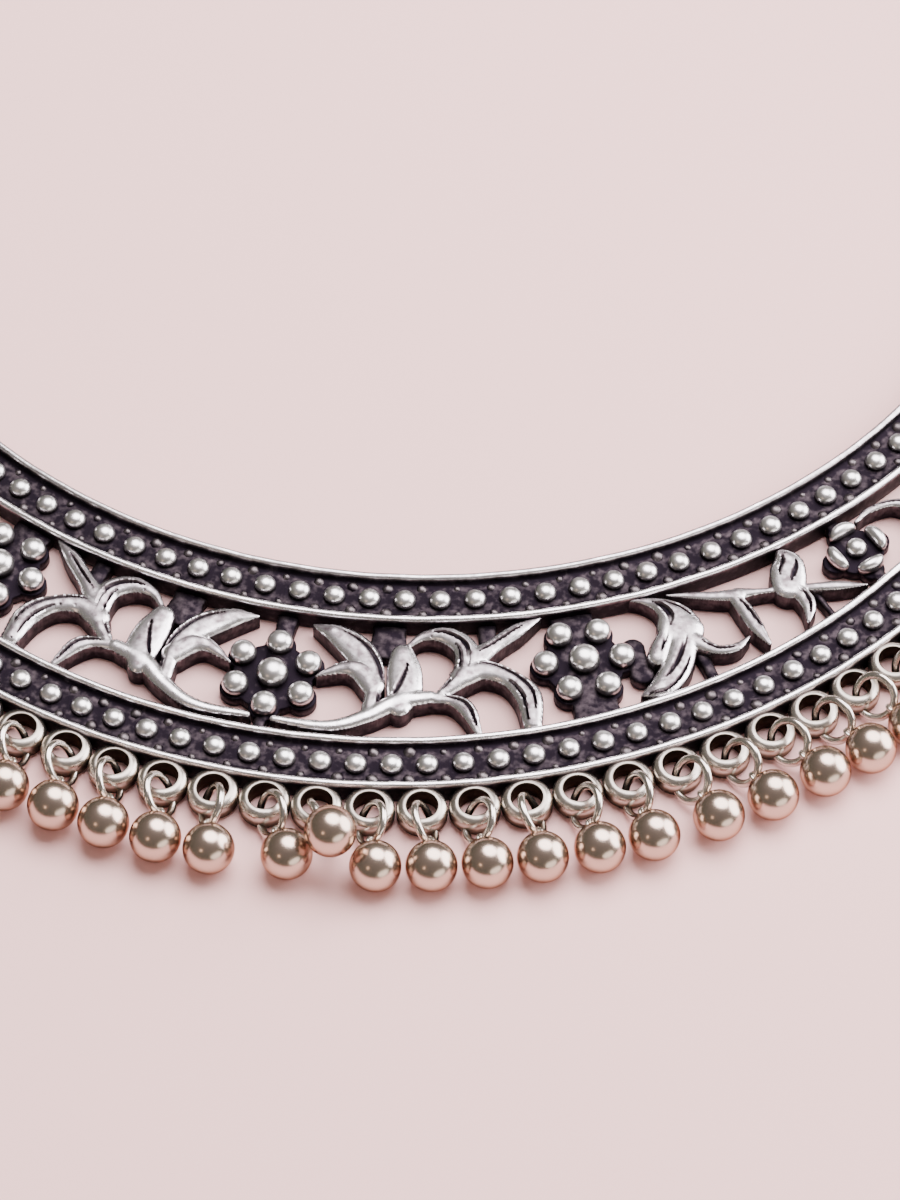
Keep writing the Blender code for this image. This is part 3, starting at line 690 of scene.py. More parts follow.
relief = {
    "gridFine": 0.112,
    "gridCoarse": 0.17,
    "fineFrom": -31.0, "fineTo": 53.0,  # degrees between which the grid is fine
    "gridRadius": 71.0,  # where the grid's steps have their full size
    "radii": (64.35, 78.4), "innerEdge": 64.45, "outerEdgeBack": 2.45,
    "nearRadius": 64.0, "reachMargin": 0.4,
    "bottom": 0.15, "leastHeight": 0.3,
    "leafWidth": 2.0,
    "blend": 0.16,
    "routeSteps": 9, "strutSteps": 3,
    # stroke: height at its edges, rise of its crest, painted shade over the middle of its top, darker last
    # edge
    "edge": 1.75, "crown": 0.64, "crownPerWidth": 0.72,
    "topShade": 0.42, "stemTopShade": 0.12, "topShadeTo": 0.80, "topShadeFade": 0.40,
    "edgeDark": 0.5, "edgeDarkFrom": 0.93, "edgeDarkFade": 0.07,
    # engraved lines: depth, then how they taper, round out and blacken
    "grooveDepth": 0.36, "grooveTaper": 0.7, "grooveRound": 0.6, "grooveBlack": 0.35,
    # struts and flower plates
    "strutTop": 1.35, "strutDrop": 0.25, "strutDark": 0.90, "strutWaist": 0.85,
    "plateTop": 1.25, "plateDrop": 0.12, "plateDark": 1.0,
    # plate where the panel gets narrow at its ends
    "endFrom": 60.0, "endWidth": 1.6, "endReach": 0.5, "endTop": 2.0, "endDark": 0.35,
    # outline and walls of the relief
    "outlineDrop": 0.07, "outlineDark": 0.74, "nearCorner": 0.04,
    "wallBreak": 0.45, "wallDark": 0.90,
    # underside made of larger faces, between grid rows that are left whole
    "seamEvery": 16, "seamTolerance": 1e-5, "flatAngle": 1.0,
    "sharpAngle": 62.0,
}
# scroll strokes of one half: name, lift of the crest, and points as station, share across the panel and
# share of the leaf width
strokes = (
    ("crescent", 0.05, (
        (0.10, 0.07, 0.15), (0.19, 0.14, 1.10), (0.27, 0.27, 1.50), (0.325, 0.48, 0.90), (0.315, 0.76, 0.65),
    )),
    ("crescentInner", 0.1, (
        (0.14, 0.50, 0.12), (0.18, 0.45, 0.45), (0.23, 0.41, 0.75), (0.28, 0.43, 1.15), (0.32, 0.55, 1.10),
    )),
    ("stem", 0.05, (
        (0.04, 0.90, 0.35), (0.20, 0.91, 0.62), (0.31, 0.81, 0.78), (0.40, 0.68, 0.92), (0.50, 0.64, 0.70),
    )),
    ("smallLeaf", 0.0, ((0.41, 0.27, 1.10), (0.418, 0.42, 1.60), (0.42, 0.58, 1.60), (0.405, 0.72, 1.10))),
    ("topCurl", 0.05, (
        (0.42, 0.21, 0.20), (0.48, 0.11, 0.50), (0.56, 0.11, 0.95),
        (0.62, 0.23, 1.15), (0.61, 0.45, 1.10), (0.53, 0.63, 0.50),
    )),
    ("leafUp", 0.0, ((0.64, 0.33, 1.15), (0.72, 0.21, 0.80), (0.80, 0.10, 0.75), (0.89, 0.00, 0.12))),
    ("bigCurl", 0.08, (
        (0.60, 0.48, 1.15), (0.67, 0.43, 1.10), (0.75, 0.52, 1.00), (0.80, 0.70, 1.25), (0.80, 0.95, 0.90),
    )),
    ("bottomCurl", 0.0, ((0.48, 0.64, 0.62), (0.56, 0.67, 0.58), (0.61, 0.76, 0.82), (0.64, 0.97, 0.35))),
    ("secondCrescent", 0.05, (
        (1.20, -0.02, 0.11), (1.25, 0.03, 0.35), (1.30, 0.13, 0.85), (1.328, 0.27, 1.57), (1.326, 0.41, 2.20),
    )),
    ("secondInner", 0.0, ((1.30, 0.30, 0.65), (1.27, 0.43, 0.78), (1.242, 0.52, 0.90), (1.22, 0.61, 0.92))),
    ("secondBody", 0.05, (
        (1.345, 0.40, 1.45), (1.305, 0.60, 1.35), (1.26, 0.77, 1.40), (1.20, 0.90, 1.15), (1.136, 0.92, 0.15),
    )),
    ("branch", 0.0, ((1.35, 0.57, 0.90), (1.40, 0.73, 0.55), (1.46, 0.79, 0.46), (1.516, 0.74, 0.10))),
    ("thinLeaf", 0.0, ((1.337, 0.03, 0.09), (1.41, 0.11, 0.36), (1.48, 0.20, 0.52), (1.556, 0.29, 0.73))),
    ("leafDown", 0.05, (
        (1.541, 0.31, 0.64), (1.547, 0.49, 0.79), (1.549, 0.68, 0.72), (1.556, 0.90, 0.24),
    )),
    ("rib", 0.0, ((1.555, 0.27, 0.66), (1.64, 0.36, 0.30), (1.72, 0.47, 0.40))),
    ("curl", 0.0, ((1.725, 0.47, 0.74), (1.738, 0.61, 0.82), (1.733, 0.76, 0.68), (1.70, 0.91, 0.15))),
    ("sideLeaf", 0.0, ((1.745, 0.50, 0.35), (1.85, 0.72, 0.52), (1.935, 0.93, 0.10))),
    ("upperLeaf", 0.05, ((1.723, 0.43, 1.60), (1.745, 0.31, 1.70), (1.77, 0.20, 1.35), (1.77, 0.07, 0.60))),
    ("thirdCrescent", 0.0, (
        (2.05, 0.17, 0.18), (2.10, 0.15, 0.34), (2.16, 0.27, 0.45), (2.19, 0.58, 0.70), (2.17, 1.02, 0.40),
    )),
    ("thirdStem", 0.0, (
        (2.19, 0.62, 0.50), (2.31, 0.58, 0.60), (2.45, 0.50, 0.55), (2.62, 0.50, 0.50), (2.82, 0.50, 0.35),
    )),
    ("thirdCurl", 0.0, ((2.30, 0.52, 0.35), (2.35, 0.22, 0.45), (2.42, -0.05, 0.30))),
    ("thirdLeaf", 0.0, ((2.36, 0.58, 0.40), (2.42, 0.82, 0.40), (2.47, 1.06, 0.25))),
)
# engraved lines: stroke, from and to along it, place across it (-1 to 1) at its start and end, half width
engraved = (
    ("crescent", 0.25, 0.99, 0.42, 0.82, 0.27), ("crescentInner", 0.40, 0.97, 0.70, 0.62, 0.26),
    ("smallLeaf", 0.20, 0.99, 0.30, -0.85, 0.21),
    ("topCurl", 0.22, 0.70, 0.05, 0.12, 0.23), ("topCurl", 0.45, 0.98, -0.55, -0.50, 0.14),
    ("leafUp", 0.10, 0.75, 0.10, 0.00, 0.13), ("bigCurl", 0.18, 0.88, 0.50, 0.35, 0.22),
    ("bigCurl", 0.45, 0.98, -0.45, -0.40, 0.15), ("bottomCurl", 0.25, 0.95, 0.35, 0.15, 0.20),
    ("secondCrescent", 0.38, 0.98, -0.10, -0.42, 0.34), ("secondCrescent", 0.50, 0.98, 0.50, 0.78, 0.18),
    ("secondInner", 0.15, 0.90, 0.20, 0.30, 0.16), ("secondBody", 0.08, 0.70, 0.15, -0.20, 0.24),
    ("secondBody", 0.35, 0.95, 0.65, 0.50, 0.14), ("branch", 0.10, 0.70, 0.20, 0.10, 0.12),
    ("leafDown", 0.05, 0.70, 0.20, 0.50, 0.19), ("curl", 0.10, 0.80, 0.20, 0.20, 0.16),
    ("upperLeaf", 0.05, 0.65, -0.10, -0.50, 0.30), ("upperLeaf", 0.25, 0.90, 0.50, 0.40, 0.16),
    ("thirdCrescent", 0.30, 0.80, 0.30, 0.30, 0.15), ("thirdStem", 0.10, 0.80, 0.10, 0.00, 0.12),
)
# low struts: station, share at one end, share at the other, share of the leaf width
struts = (
    (0.00, -0.05, 0.40, 1.00), (0.00, 0.62, 1.05, 0.60), (0.36, -0.05, 0.14, 1.70),
    (0.70, -0.05, 0.20, 0.95), (1.00, -0.05, 0.40, 2.10), (1.00, 0.62, 1.05, 2.40),
    (1.165, 0.42, 0.68, 1.10), (1.36, 0.70, 1.05, 0.60), (1.79, 0.60, 1.05, 0.35),
    (2.00, -0.05, 0.40, 0.70), (2.00, 0.62, 1.05, 0.70),
)
flower = {
    "shares": (0.52, 0.45, 0.465),
    "turns": (90.0, 19.0, 45.0),  # first petal's direction, in degrees
    "ring": 3.5, "petal": 1.22, "centre": 1.45, "margin": 0.22,
    "smallRing": 2.4, "smallPetal": 1.0, "smallHalfWidth": 0.68, "smallHalfLength": 1.5,
    "bead": (  # share of the radius, height as a share of the radius, blackening
        (0.0, -0.10, 1.0), (0.90, -0.10, 1.0), (0.95, 0.10, 0.9), (1.0, 0.42, 0.30), (0.96, 0.66, 0.0),
        (0.83, 0.90, 0.0), (0.62, 1.08, 0.0), (0.36, 1.19, 0.0), (0.0, 1.24, 0.0),
    ),
    "beadSides": 20, "petalSides": 24, "lean": 0.07, "seed": 5,
}


def flowerPlaces():
    # middle, first petal's direction, petal count, ring radius, petal radius, middle bead's radius
    large = (6, flower["ring"], flower["petal"], flower["centre"])
    small = (4, flower["smallRing"], flower["smallPetal"], flower["smallPetal"])
    places = []
    for station, sizes in enumerate((large, large, small)):
        for side in (1, -1) if station else (1,):
            middle = panelSpot(float(station), flower["shares"][station])
            middle.x *= side
            turn = math.radians(flower["turns"][station])
            places.append((middle, turn if side > 0 else math.pi - turn, *sizes))
    return places


class ReliefField:
    # heights, fill and darkness on a grid of angles and radii about the inner circle's middle; the darkness
    # is patina, with painted shade on the middle of the stroke tops
    def __init__(self):
        coarse, fine = relief["gridCoarse"], relief["gridFine"]
        angles, angle = [], -railEnd
        while angle < railEnd:
            angles.append(angle)
            isFine = math.radians(relief["fineFrom"]) < angle < math.radians(relief["fineTo"])
            angle += (fine if isFine else coarse) / relief["gridRadius"]
        self.angles = np.array(angles)
        self.radii = np.arange(*relief["radii"], fine)
        self.a, self.r = np.meshgrid(self.angles, self.radii, indexing="ij")
        self.x = self.r * np.sin(self.a)
        self.y = plan["middleY"] - self.r * np.cos(self.a)
        self.fill = np.full(self.x.shape, -1.0)
        self.height = np.full(self.x.shape, -5.0)
        self.dark = np.zeros(self.x.shape)

    def block(self, path, reach):
        radius = np.hypot(path[:, 0], plan["middleY"] - path[:, 1])
        angle = np.arctan2(path[:, 0], plan["middleY"] - path[:, 1])
        turn = reach / relief["nearRadius"]
        first, last = np.searchsorted(self.angles, (angle.min() - turn, angle.max() + turn))
        low, high = np.searchsorted(self.radii, (radius.min() - reach, radius.max() + reach))
        return np.s_[first:last, low:high]

    def merge(self, part, inside, height, dark):
        k = relief["blend"]
        inBoth = inside > 0
        before = self.height[part]
        share = np.clip(0.5 + 0.5 * (height - before) / k, 0, 1)
        merged = before * (1 - share) + height * share + k * share * (1 - share)
        self.dark[part] = np.where(inBoth, self.dark[part] * (1 - share) + dark * share, self.dark[part])
        self.height[part] = np.where(inBoth, merged, before)
        self.fill[part] = np.maximum(self.fill[part], inside)

    def addStroke(self, name, lift, route, side, flat=None):
        path = np.array([panelSpot(min(s, 2.999), share)[:2] for s, share, _ in route])
        path[:, 0] *= side
        half = route[:, 2] * relief["leafWidth"] / 2
        part = self.block(path, half.max() + relief["reachMargin"])
        x, y = self.x[part], self.y[part]
        lengths = np.concatenate(([0], np.cumsum(np.hypot(*np.diff(path, axis=0).T))))
        lengths /= lengths[-1]
        inside = np.full(x.shape, -9.0)
        across = np.zeros(x.shape)
        along = np.zeros(x.shape)
        width = np.full(x.shape, 0.01)
        for i in range(len(path) - 1):
            ax, ay = path[i]
            bx, by = path[i + 1] - path[i]
            square = bx * bx + by * by
            t = np.clip(((x - ax) * bx + (y - ay) * by) / square, 0, 1)
            dx, dy = x - ax - t * bx, y - ay - t * by
            distance = np.hypot(dx, dy)
            here = half[i] + t * (half[i + 1] - half[i])
            better = here - distance > inside
            inside = np.where(better, here - distance, inside)
            sign = np.sign(bx * dy - by * dx) * side
            across = np.where(better, sign * distance / here, across)
            along = np.where(better, lengths[i] + t * (lengths[i + 1] - lengths[i]), along)
            width = np.where(better, here, width)
        bulge = np.sqrt(np.clip(1 - across ** 2, 0, 1))
        if flat is not None:
            height = flat - relief["strutDrop"] * (1 - bulge)
            dark = np.full(x.shape, relief["strutDark"])
        else:
            crown = np.minimum(relief["crown"], relief["crownPerWidth"] * width) + lift
            height = relief["edge"] + crown * bulge
            rim = np.abs(across)
            # painted shade: the middle of each stroke's top is painted darker, less on the stem
            topShade = relief["stemTopShade"] if name == "stem" else relief["topShade"]
            edge = np.clip((rim - relief["edgeDarkFrom"]) / relief["edgeDarkFade"], 0, 1)
            dark = topShade * np.clip((relief["topShadeTo"] - rim) / relief["topShadeFade"], 0, 1)
            dark = dark + relief["edgeDark"] * edge
            for owner, start, end, placeFrom, placeTo, halfLine in engraved:
                if owner != name:
                    continue
                share = np.clip((along - start) / (end - start), 0, 1)
                place = placeFrom + share * (placeTo - placeFrom)
                line = halfLine * np.sin(np.pi * share) ** relief["grooveTaper"]
                cut = np.clip(1 - ((across - place) * width / np.maximum(line, 0.001)) ** 2, 0, 1)
                height = height - relief["grooveDepth"] * cut ** relief["grooveRound"]
                dark = np.maximum(dark, cut ** relief["grooveBlack"])
        self.merge(part, inside, height, dark)

    def addPlate(self, middle, radius):
        path = np.array([[middle[0], middle[1]]])
        part = self.block(path, radius + relief["reachMargin"])
        distance = np.hypot(self.x[part] - middle[0], self.y[part] - middle[1])
        inside = radius - distance
        height = relief["plateTop"] - relief["plateDrop"] * np.clip(distance / radius, 0, 1) ** 4
        self.merge(part, inside, height, np.full(inside.shape, relief["plateDark"]))

    def addEndPlate(self):
        railHalf = plan["railWidth"] / 2
        width = outerRow(self.a) - railHalf - (plan["innerRow"] + railHalf)
        atEnds = np.abs(self.a) > math.radians(relief["endFrom"])
        inside = np.where(atEnds, relief["endWidth"] - width, -1.0)
        shape = self.x.shape
        self.merge(
            np.s_[:, :], np.minimum(inside, relief["endReach"]),
            np.full(shape, relief["endTop"]), np.full(shape, relief["endDark"]),
        )


def buildRelief():
    field = ReliefField()
    for side in (1, -1):
        for name, lift, points in strokes:
            field.addStroke(name, lift, smoothRoute(points, relief["routeSteps"]), side)
        for station, start, end, width in struts:
            waist = (station, (start + end) / 2, width * relief["strutWaist"])
            ends = (station, start, width), (station, end, width)
            route = smoothRoute((ends[0], waist, ends[1]), relief["strutSteps"])
            field.addStroke("strut", 0.0, route, side, flat=relief["strutTop"])
    for middle, turn, count, ring, petal, _ in flowerPlaces():
        field.addPlate(middle, ring + flower["margin"])
        for k in range(count):
            angle = turn + 2 * math.pi * k / count
            offset = Vector((math.cos(angle), math.sin(angle), 0.0)) * ring
            field.addPlate(middle + offset, petal + flower["margin"])
    field.addEndPlate()
    outerEdge = outerRow(field.a) - relief["outerEdgeBack"]
    inRange = (field.r > relief["innerEdge"]) & (field.r < outerEdge)
    field.fill = np.where(inRange, field.fill, -1.0)
    field.fill[0, :] = field.fill[-1, :] = -1.0
    field.fill[:, 0] = field.fill[:, -1] = -1.0
    return field


def reliefMesh(field):
    rows, columns = field.x.shape
    inside = field.fill > 0
    least = relief["bottom"] + relief["leastHeight"]
    height = np.maximum(field.height, least)
    number = np.full(inside.shape, -1)
    number[inside] = np.arange(inside.sum())
    points = [tuple(p) for p in np.stack((field.x[inside], field.y[inside], height[inside]), axis=1)]
    dark = list(field.dark[inside])
    corners = np.stack((number[:-1, :-1], number[:-1, 1:], number[1:, 1:], number[1:, :-1]), axis=-1)
    whole = (corners >= 0).all(axis=-1)
    faces = [tuple(f) for f in corners[whole].tolist()]
    mixed = np.argwhere((corners >= 0).any(axis=-1) & ~whole)
    crossings, walls = {}, []

    def crossing(one, two):
        key = (one, two) if one < two else (two, one)
        if key not in crossings:
            f1, f2 = field.fill[key[0]], field.fill[key[1]]
            t = min(max(f1 / (f1 - f2), relief["nearCorner"]), 1 - relief["nearCorner"])
            inner = key[0] if f1 > 0 else key[1]
            crossings[key] = len(points)
            x = field.x[key[0]] * (1 - t) + field.x[key[1]] * t
            y = field.y[key[0]] * (1 - t) + field.y[key[1]] * t
            points.append((x, y, max(height[inner] - relief["outlineDrop"], least)))
            dark.append(max(field.dark[inner], relief["outlineDark"]))
        return crossings[key]

    for i, j in mixed.tolist():
        cell = ((i, j), (i, j + 1), (i + 1, j + 1), (i + 1, j))
        polygon = []
        for one, two in zip(cell, cell[1:] + cell[:1]):
            if inside[one]:
                polygon.append((int(number[one]), False))
            if inside[one] != inside[two]:
                polygon.append((crossing(one, two), bool(inside[one])))  # True where the outline leaves
        faces.append(tuple(p for p, _ in polygon))
        for (p, leaves), (q, _) in zip(polygon, polygon[1:] + polygon[:1]):
            if leaves:
                walls.append((p, q))
    topCount = len(points)
    outline = sorted({p for wall in walls for p in wall})
    middleOf = {}
    for p in outline:
        middleOf[p] = len(points)
        x, y, z = points[p]
        points.append((x, y, relief["bottom"] + relief["wallBreak"] * (z - relief["bottom"])))
        dark.append(relief["wallDark"])
    lowOf = {}
    for p in range(topCount):
        lowOf[p] = len(points)
        x, y, z = points[p]
        points.append((x, y, relief["bottom"]))
        dark.append(1.0)
    topFaces = list(faces)
    for p, q in walls:
        faces.append((q, p, middleOf[p], middleOf[q]))
        faces.append((middleOf[q], middleOf[p], lowOf[p], lowOf[q]))
    firstLow = len(faces)
    for face in topFaces:
        faces.append(tuple(lowOf[p] for p in reversed(face)))
    return points, faces, dark, firstLow


def makePanel():
    field = buildRelief()
    points, faces, dark, firstLow = reliefMesh(field)
    piece = meshPiece("scrollPanel", points, faces, dark, finish="blackenedSilver")
    bm = bmesh.new()
    bm.from_mesh(piece.data)
    bm.faces.ensure_lookup_table()
    seams, tolerance = field.angles[::relief["seamEvery"]], relief["seamTolerance"]

    def onSeam(edge):
        one, two = (math.atan2(v.co.x, plan["middleY"] * mm - v.co.y) for v in edge.verts)
        return abs(one - two) < tolerance and np.abs(seams - one).min() < tolerance

    edges = [
        edge for edge in bm.edges
        if all(face.index >= firstLow for face in edge.link_faces) and not onSeam(edge)
    ]
    verts = [vert for vert in bm.verts if any(face.index >= firstLow for face in vert.link_faces)]
    bmesh.ops.dissolve_limit(bm, angle_limit=math.radians(relief["flatAngle"]), verts=verts, edges=edges)
    bmesh.ops.triangulate(bm, faces=[f for f in bm.faces if len(f.verts) > 4])
    bm.to_mesh(piece.data)
    bm.free()
    piece.data.shade_smooth()
    piece.data.set_sharp_from_angle(angle=math.radians(relief["sharpAngle"]))
    return piece


scrollPanel = makePanel()
print("scroll panel made,", len(scrollPanel.data.polygons), "faces")


def bentPetal():
    # a bead drawn out along its ring and bent with it; its origin is the flower's middle
    petal = lathe("bentPetalCopy", flower["bead"], flower["petalSides"])
    for vertex in petal.data.vertices:
        x, y, z = vertex.co / mm
        radius = flower["smallRing"] + x * flower["smallHalfWidth"]
        turn = y * flower["smallHalfLength"] / flower["smallRing"]
        up = z * flower["smallPetal"]
        vertex.co = Vector((radius * math.cos(turn), radius * math.sin(turn), up)) * mm
    return petal


def makeFlowers():
    source = np.random.default_rng(flower["seed"])
    roundBeads, bentBeads = ([], [], []), ([], [], [])
    for middle, turn, count, ring, petal, centre in flowerPlaces():
        middle.z = relief["plateTop"]
        for k in range(-1, count):
            angle = turn + 2 * math.pi * k / count
            radius = centre if k < 0 else petal
            if count == 4 and k >= 0:
                rows, place, lean = bentBeads, middle, (0.0, 0.0, angle)
                radius = 1.0  # the copy has its full size
            else:
                away = 0.0 if k < 0 else ring
                rows, place = roundBeads, middle + Vector((math.cos(angle), math.sin(angle), 0.0)) * away
                lean = source.uniform(-flower["lean"], flower["lean"], 3)
            for values, value in zip(rows, (tuple(place), tuple(lean), radius)):
                values.append(value)
    copies = (lathe("flowerBeadCopy", flower["bead"], flower["beadSides"]), bentPetal())
    made = [
        hangCopies(name, copy, "satinSilver", *rows)
        for name, copy, rows in zip(("flowerBeads", "bentPetals"), copies, (roundBeads, bentBeads))
    ]
    dropCopies(*copies)
    return made


flowerBeads, bentPetals = makeFlowers()
print("flowers made")

# cast loops, jump rings, eyes and balls

fringe = {
    "count": 38,
    "loopRadius": 2.2, "loopWall": 0.75, "loopHeight": 1.45, "loopSink": 0.4,
    # section of a loop: from its middle, up from its middle height, blackening (patina; on the inner wall,
    # inner bevel and underside it is also painted shade, so the hole and far arcs read dark)
    "loopSection": (
        (1.46, -1.20, 1.0), (1.38, -0.30, 1.0), (1.38, 0.50, 0.95), (1.41, 0.66, 0.75),
        (1.48, 0.71, 0.35), (1.80, 0.61, 0.16), (2.08, 0.47, 0.06), (2.24, 0.28, 0.05),
        (2.31, -0.04, 0.20), (2.32, -0.40, 0.55), (2.28, -0.90, 0.9), (2.15, -1.20, 1.0),
        (1.80, -1.25, 1.0),
    ),
    "loopSides": 28, "loopTilt": 0.05, "loopSizeChange": 0.01, "loopSeed": 3,
    "ringRadius": 1.93, "ringWire": 0.37, "ringRise": 0.85, "ringPull": 0.4,
    "ringSides": (36, 10),
    "ballRadius": 2.3, "ballReach": 4.4, "ballGap": 0.5,
    "ballSides": (20, 40),
    "eyeRadius": 0.55, "eyeWire": 0.20, "eyeOut": 2.05,
    "eyeSides": (18, 8),
    # drop, degrees turned sideways, turned up, rolled
    "turned": (
        (11, 4, 0, 30), (12, 9, 0, 34), (13, 13, 0, 28), (14, 17, 0, 36), (15, 19, 0, 30),
        (16, 18, 0, 34), (17, 16, 0, 26), (18, 14, 0, 34), (19, 12, 0, -28), (20, 28, 0, -30),
        (21, 20, 43, 20), (22, 7, 0, -34), (23, 5.3, 0, 28), (24, 3.6, 0, -36), (25, 1.8, 0, 30),
        (26, 2, 0, -32), (27, 1, 0, -26), (28, 10, 0, -36), (29, 12.5, 0, -30), (30, 15.5, 0, -34),
        (31, 14, 0, -28), (32, 12, 0, -36), (33, 10, 0, -30), (34, 8.4, 0, -34), (35, 6.7, 0, -28),
        (36, 4.9, 0, -34), (37, 3.1, 0, -30), (38, 1.3, 0, -32),
    ),
}
loopRow = plan["outerRow"] + plan["railWidth"] / 2 + fringe["loopRadius"] - fringe["loopSink"]
ringOut = fringe["loopRadius"] - fringe["loopWall"] / 2 + fringe["ringPull"]
ballRow = loopRow + ringOut + fringe["ballReach"]
loopStep = 2 * math.asin((fringe["ballRadius"] + fringe["ballGap"] / 2) / ballRow)
firstLoop = -(fringe["count"] - 1) / 2 * loopStep


def makeLoops():
    sides = fringe["loopSides"]
    points, dark = [], []
    for i in range(sides):
        turn = 2 * math.pi * i / sides
        for out, up, black in fringe["loopSection"]:
            points.append((out * math.cos(turn), out * math.sin(turn), up))
            dark.append(black)
    faces = tubeFaces(sides, len(fringe["loopSection"]), closed=True)
    copy = outward(meshPiece("loopCopy", points, faces, dark))
    loops = makeRow(
        "castLoops", copy, "castSilver", loopRow, plan["outerForward"], fringe["loopHeight"],
        (firstLoop, loopStep, fringe["count"]),
        fringe["loopTilt"], fringe["loopSizeChange"], fringe["loopSeed"],
    )
    dropCopies(copy)
    return loops


def hangDrops():
    turned = {row[0]: row[1:] for row in fringe["turned"]}
    places, turns = [], []
    for number in range(1, fringe["count"] + 1):
        sideways, upward, roll = turned.get(number, (0, 0, 0))
        angle = firstLoop + (number - 1) * loopStep
        hinge = spot(angle, loopRow, fringe["loopHeight"], plan["outerForward"])
        aim = angle + math.radians(sideways)
        heading = Vector((math.sin(aim), -math.cos(aim), 0.0))
        middle = hinge + heading * ringOut
        middle.z += fringe["ringRise"]
        rise = math.asin((fringe["ballRadius"] - middle.z) / fringe["ballReach"]) + math.radians(upward)
        pull = heading * math.cos(rise) + Vector((0.0, 0.0, math.sin(rise)))
        level = Vector((-heading.y, heading.x, 0.0))
        lean = math.radians(roll)
        up = pull.cross(level) * math.cos(lean) - level * math.sin(lean)
        basis = Matrix((pull, up.cross(pull), up)).transposed()
        places.append(middle)
        turns.append(tuple(basis.to_euler("XYZ")))
    sizes = [1.0] * len(places)
    ringCopy = torusMesh("ringCopy", fringe["ringRadius"], fringe["ringWire"], *fringe["ringSides"])
    rings = hangCopies("jumpRings", ringCopy, "wireSilver", places, turns, sizes)
    eyeCopy = torusMesh("eyeCopy", fringe["eyeRadius"], fringe["eyeWire"], *fringe["eyeSides"])
    eyeMove = Matrix.Translation((fringe["eyeOut"] * mm, 0, 0))
    eyeCopy.data.transform(eyeMove @ Matrix.Rotation(math.pi / 2, 4, "X"))
    eyes = hangCopies("ballEyes", eyeCopy, "wireSilver", places, turns, sizes)
    steps, sides = fringe["ballSides"]
    profile = [(0, -1.0)]
    for k in range(1, steps):
        polar = math.pi * k / steps
        profile.append((math.sin(polar), -math.cos(polar)))
    profile.append((0, 1.0))
    ballProfile = [(r * fringe["ballRadius"], up * fringe["ballRadius"], 0.0) for r, up in profile]
    ballCopy = lathe("ballCopy", ballProfile, sides)
    ballMove = Matrix.Translation((fringe["ballReach"] * mm, 0, 0))
    ballCopy.data.transform(ballMove @ Matrix.Rotation(-math.pi / 2, 4, "Y"))
    balls = hangCopies("balls", ballCopy, "mirrorSilver", places, turns, sizes)
    dropCopies(ringCopy, eyeCopy, ballCopy)
    return rings, eyes, balls


castLoops = makeLoops()
jumpRings, ballEyes, balls = hangDrops()
print("loops, rings and balls made")

# terminals, neck bar, end eyes and clasp link

neck = {
    "barRadius": 1.6, "overlap": 0.25,
    # degrees past the rails, share of the way from the bar's width to both rails, the same for its middle,
    # share of its height
    "terminal": (
        (-3.0, 1.00, 1.00, 0.78), (-1.0, 0.99, 1.00, 0.79), (2.5, 0.86, 0.92, 0.84),
        (6.5, 0.50, 0.60, 0.92), (11.0, 0.16, 0.20, 0.98), (16.0, 0.00, 0.00, 1.00),
    ),
    "terminalSteps": 8, "barSteps": 60, "sides": 20,
    "topDark": 0.25, "underDark": 0.25,  # the underside is darker by the second
    "eyeRadius": 1.4, "eyeWire": 0.5, "eyeSpacing": 5.2, "eyeSides": (28, 12),
    "linkWire": 0.4, "linkCorner": 0.8, "linkClearance": 0.3, "linkCornerPoints": 8, "linkSides": 12,
}


def makeNeckBar(name, side):
    fullWidth = plan["railWidth"] + neck["overlap"]
    rows = []
    for past, wide, away, tall in smoothRoute(neck["terminal"], neck["terminalSteps"]):
        halfWidth = neck["barRadius"] + wide * (fullWidth - neck["barRadius"])
        middle = plan["innerRow"] + away * plan["railWidth"] / 2
        rows.append((railEnd + math.radians(past), middle, halfWidth, neck["barRadius"] * tall))
    reach = neck["eyeSpacing"] / 2 + neck["eyeRadius"]
    end = math.pi - math.asin(reach / plan["innerRow"])
    start = rows[-1][0]
    for step in range(1, neck["barSteps"] + 1):
        angle = start + (end - start) * step / neck["barSteps"]
        rows.append((angle, plan["innerRow"], neck["barRadius"], neck["barRadius"]))
    points, dark = [], []
    for angle, middle, halfWidth, halfHeight in rows:
        for i in range(neck["sides"]):
            turn = 2 * math.pi * i / neck["sides"]
            height = neck["barRadius"] + halfHeight * math.sin(turn)
            p = spot(angle, middle + halfWidth * math.cos(turn), height)
            points.append((p.x * side, p.y, p.z))
            dark.append(neck["topDark"] + neck["underDark"] * max(0.0, -math.sin(turn)))
    faces = tubeFaces(len(rows), neck["sides"])
    return outward(meshPiece(name, points, faces, dark, 50.0, "blackenedSilver"))


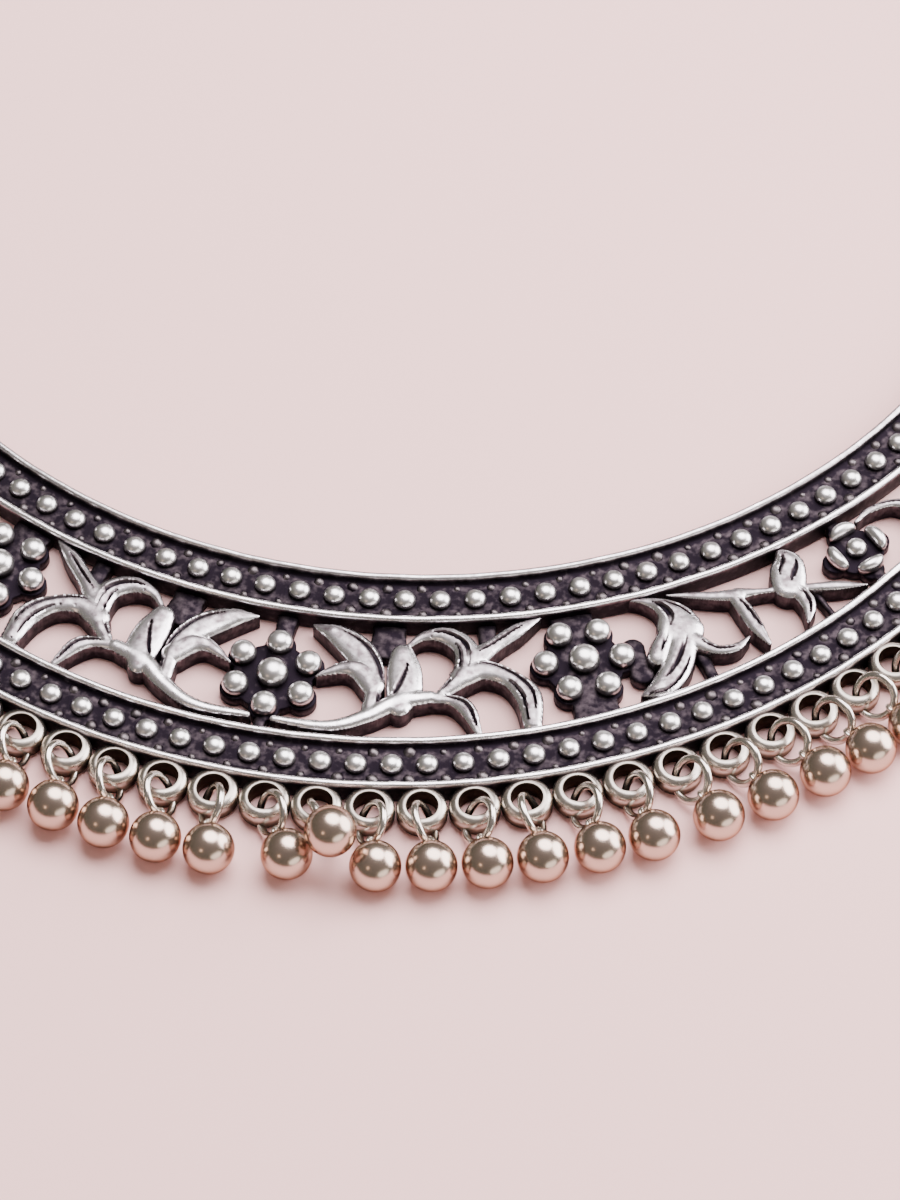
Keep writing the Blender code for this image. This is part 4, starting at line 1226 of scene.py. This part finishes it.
def makeEndEye(name, side):
    eye = torusMesh(name, neck["eyeRadius"], neck["eyeWire"], *neck["eyeSides"])
    eye.data.materials.append(materials["wireSilver"])
    back = plan["innerRow"] + plan["middleY"]
    place = Vector((side * neck["eyeSpacing"] / 2, back, neck["barRadius"])) * mm
    eye.data.transform(Matrix.Translation(place) @ Matrix.Rotation(math.pi / 2, 4, "X"))
    return eye


def makeClaspLink():
    reach = neck["eyeWire"] + neck["linkClearance"] + neck["linkWire"]
    halfLength = neck["eyeSpacing"] / 2 - neck["eyeRadius"] + reach
    corner = neck["linkCorner"]
    middle = Vector((0.0, plan["innerRow"] + plan["middleY"], neck["barRadius"]))
    cornerPoints, sides = neck["linkCornerPoints"], neck["linkSides"]
    points = []
    for quarter, (right, up) in enumerate(((1, 1), (-1, 1), (-1, -1), (1, -1))):
        for step in range(cornerPoints):
            turn = math.radians(90 * quarter + 90 * step / (cornerPoints - 1))
            out = Vector((math.cos(turn), 0.0, math.sin(turn)))
            bend = middle + Vector((right * (halfLength - corner), 0.0, up * (reach - corner)))
            bend = bend + out * corner
            for i in range(sides):
                lean = 2 * math.pi * i / sides
                aside = out * math.cos(lean) + Vector((0, 1, 0)) * math.sin(lean)
                points.append(bend + aside * neck["linkWire"])
    faces = tubeFaces(4 * cornerPoints, sides, closed=True)
    dark = [wireBlackening] * len(points)
    return outward(meshPiece("claspLink", points, faces, dark, None, "wireSilver"))


neckBars = [makeNeckBar("neckBarRight", 1), makeNeckBar("neckBarLeft", -1)]
endEyes = [makeEndEye("endEyeRight", 1), makeEndEye("endEyeLeft", -1)]
claspLink = makeClaspLink()
print("neck bar and clasp made")

castPieces = (innerRail, outerRail, scrollPanel, flowerBeads, bentPetals, castLoops)
for piece in (*castPieces, *rowsMade, *neckBars, *endEyes):
    finishPiece(piece, "blackened_silver", "collar")
finishPiece(claspLink, "plain_silver", "clasp_link")
for piece in (jumpRings, ballEyes, balls):
    finishPiece(piece, "polished_silver", *dropNames)
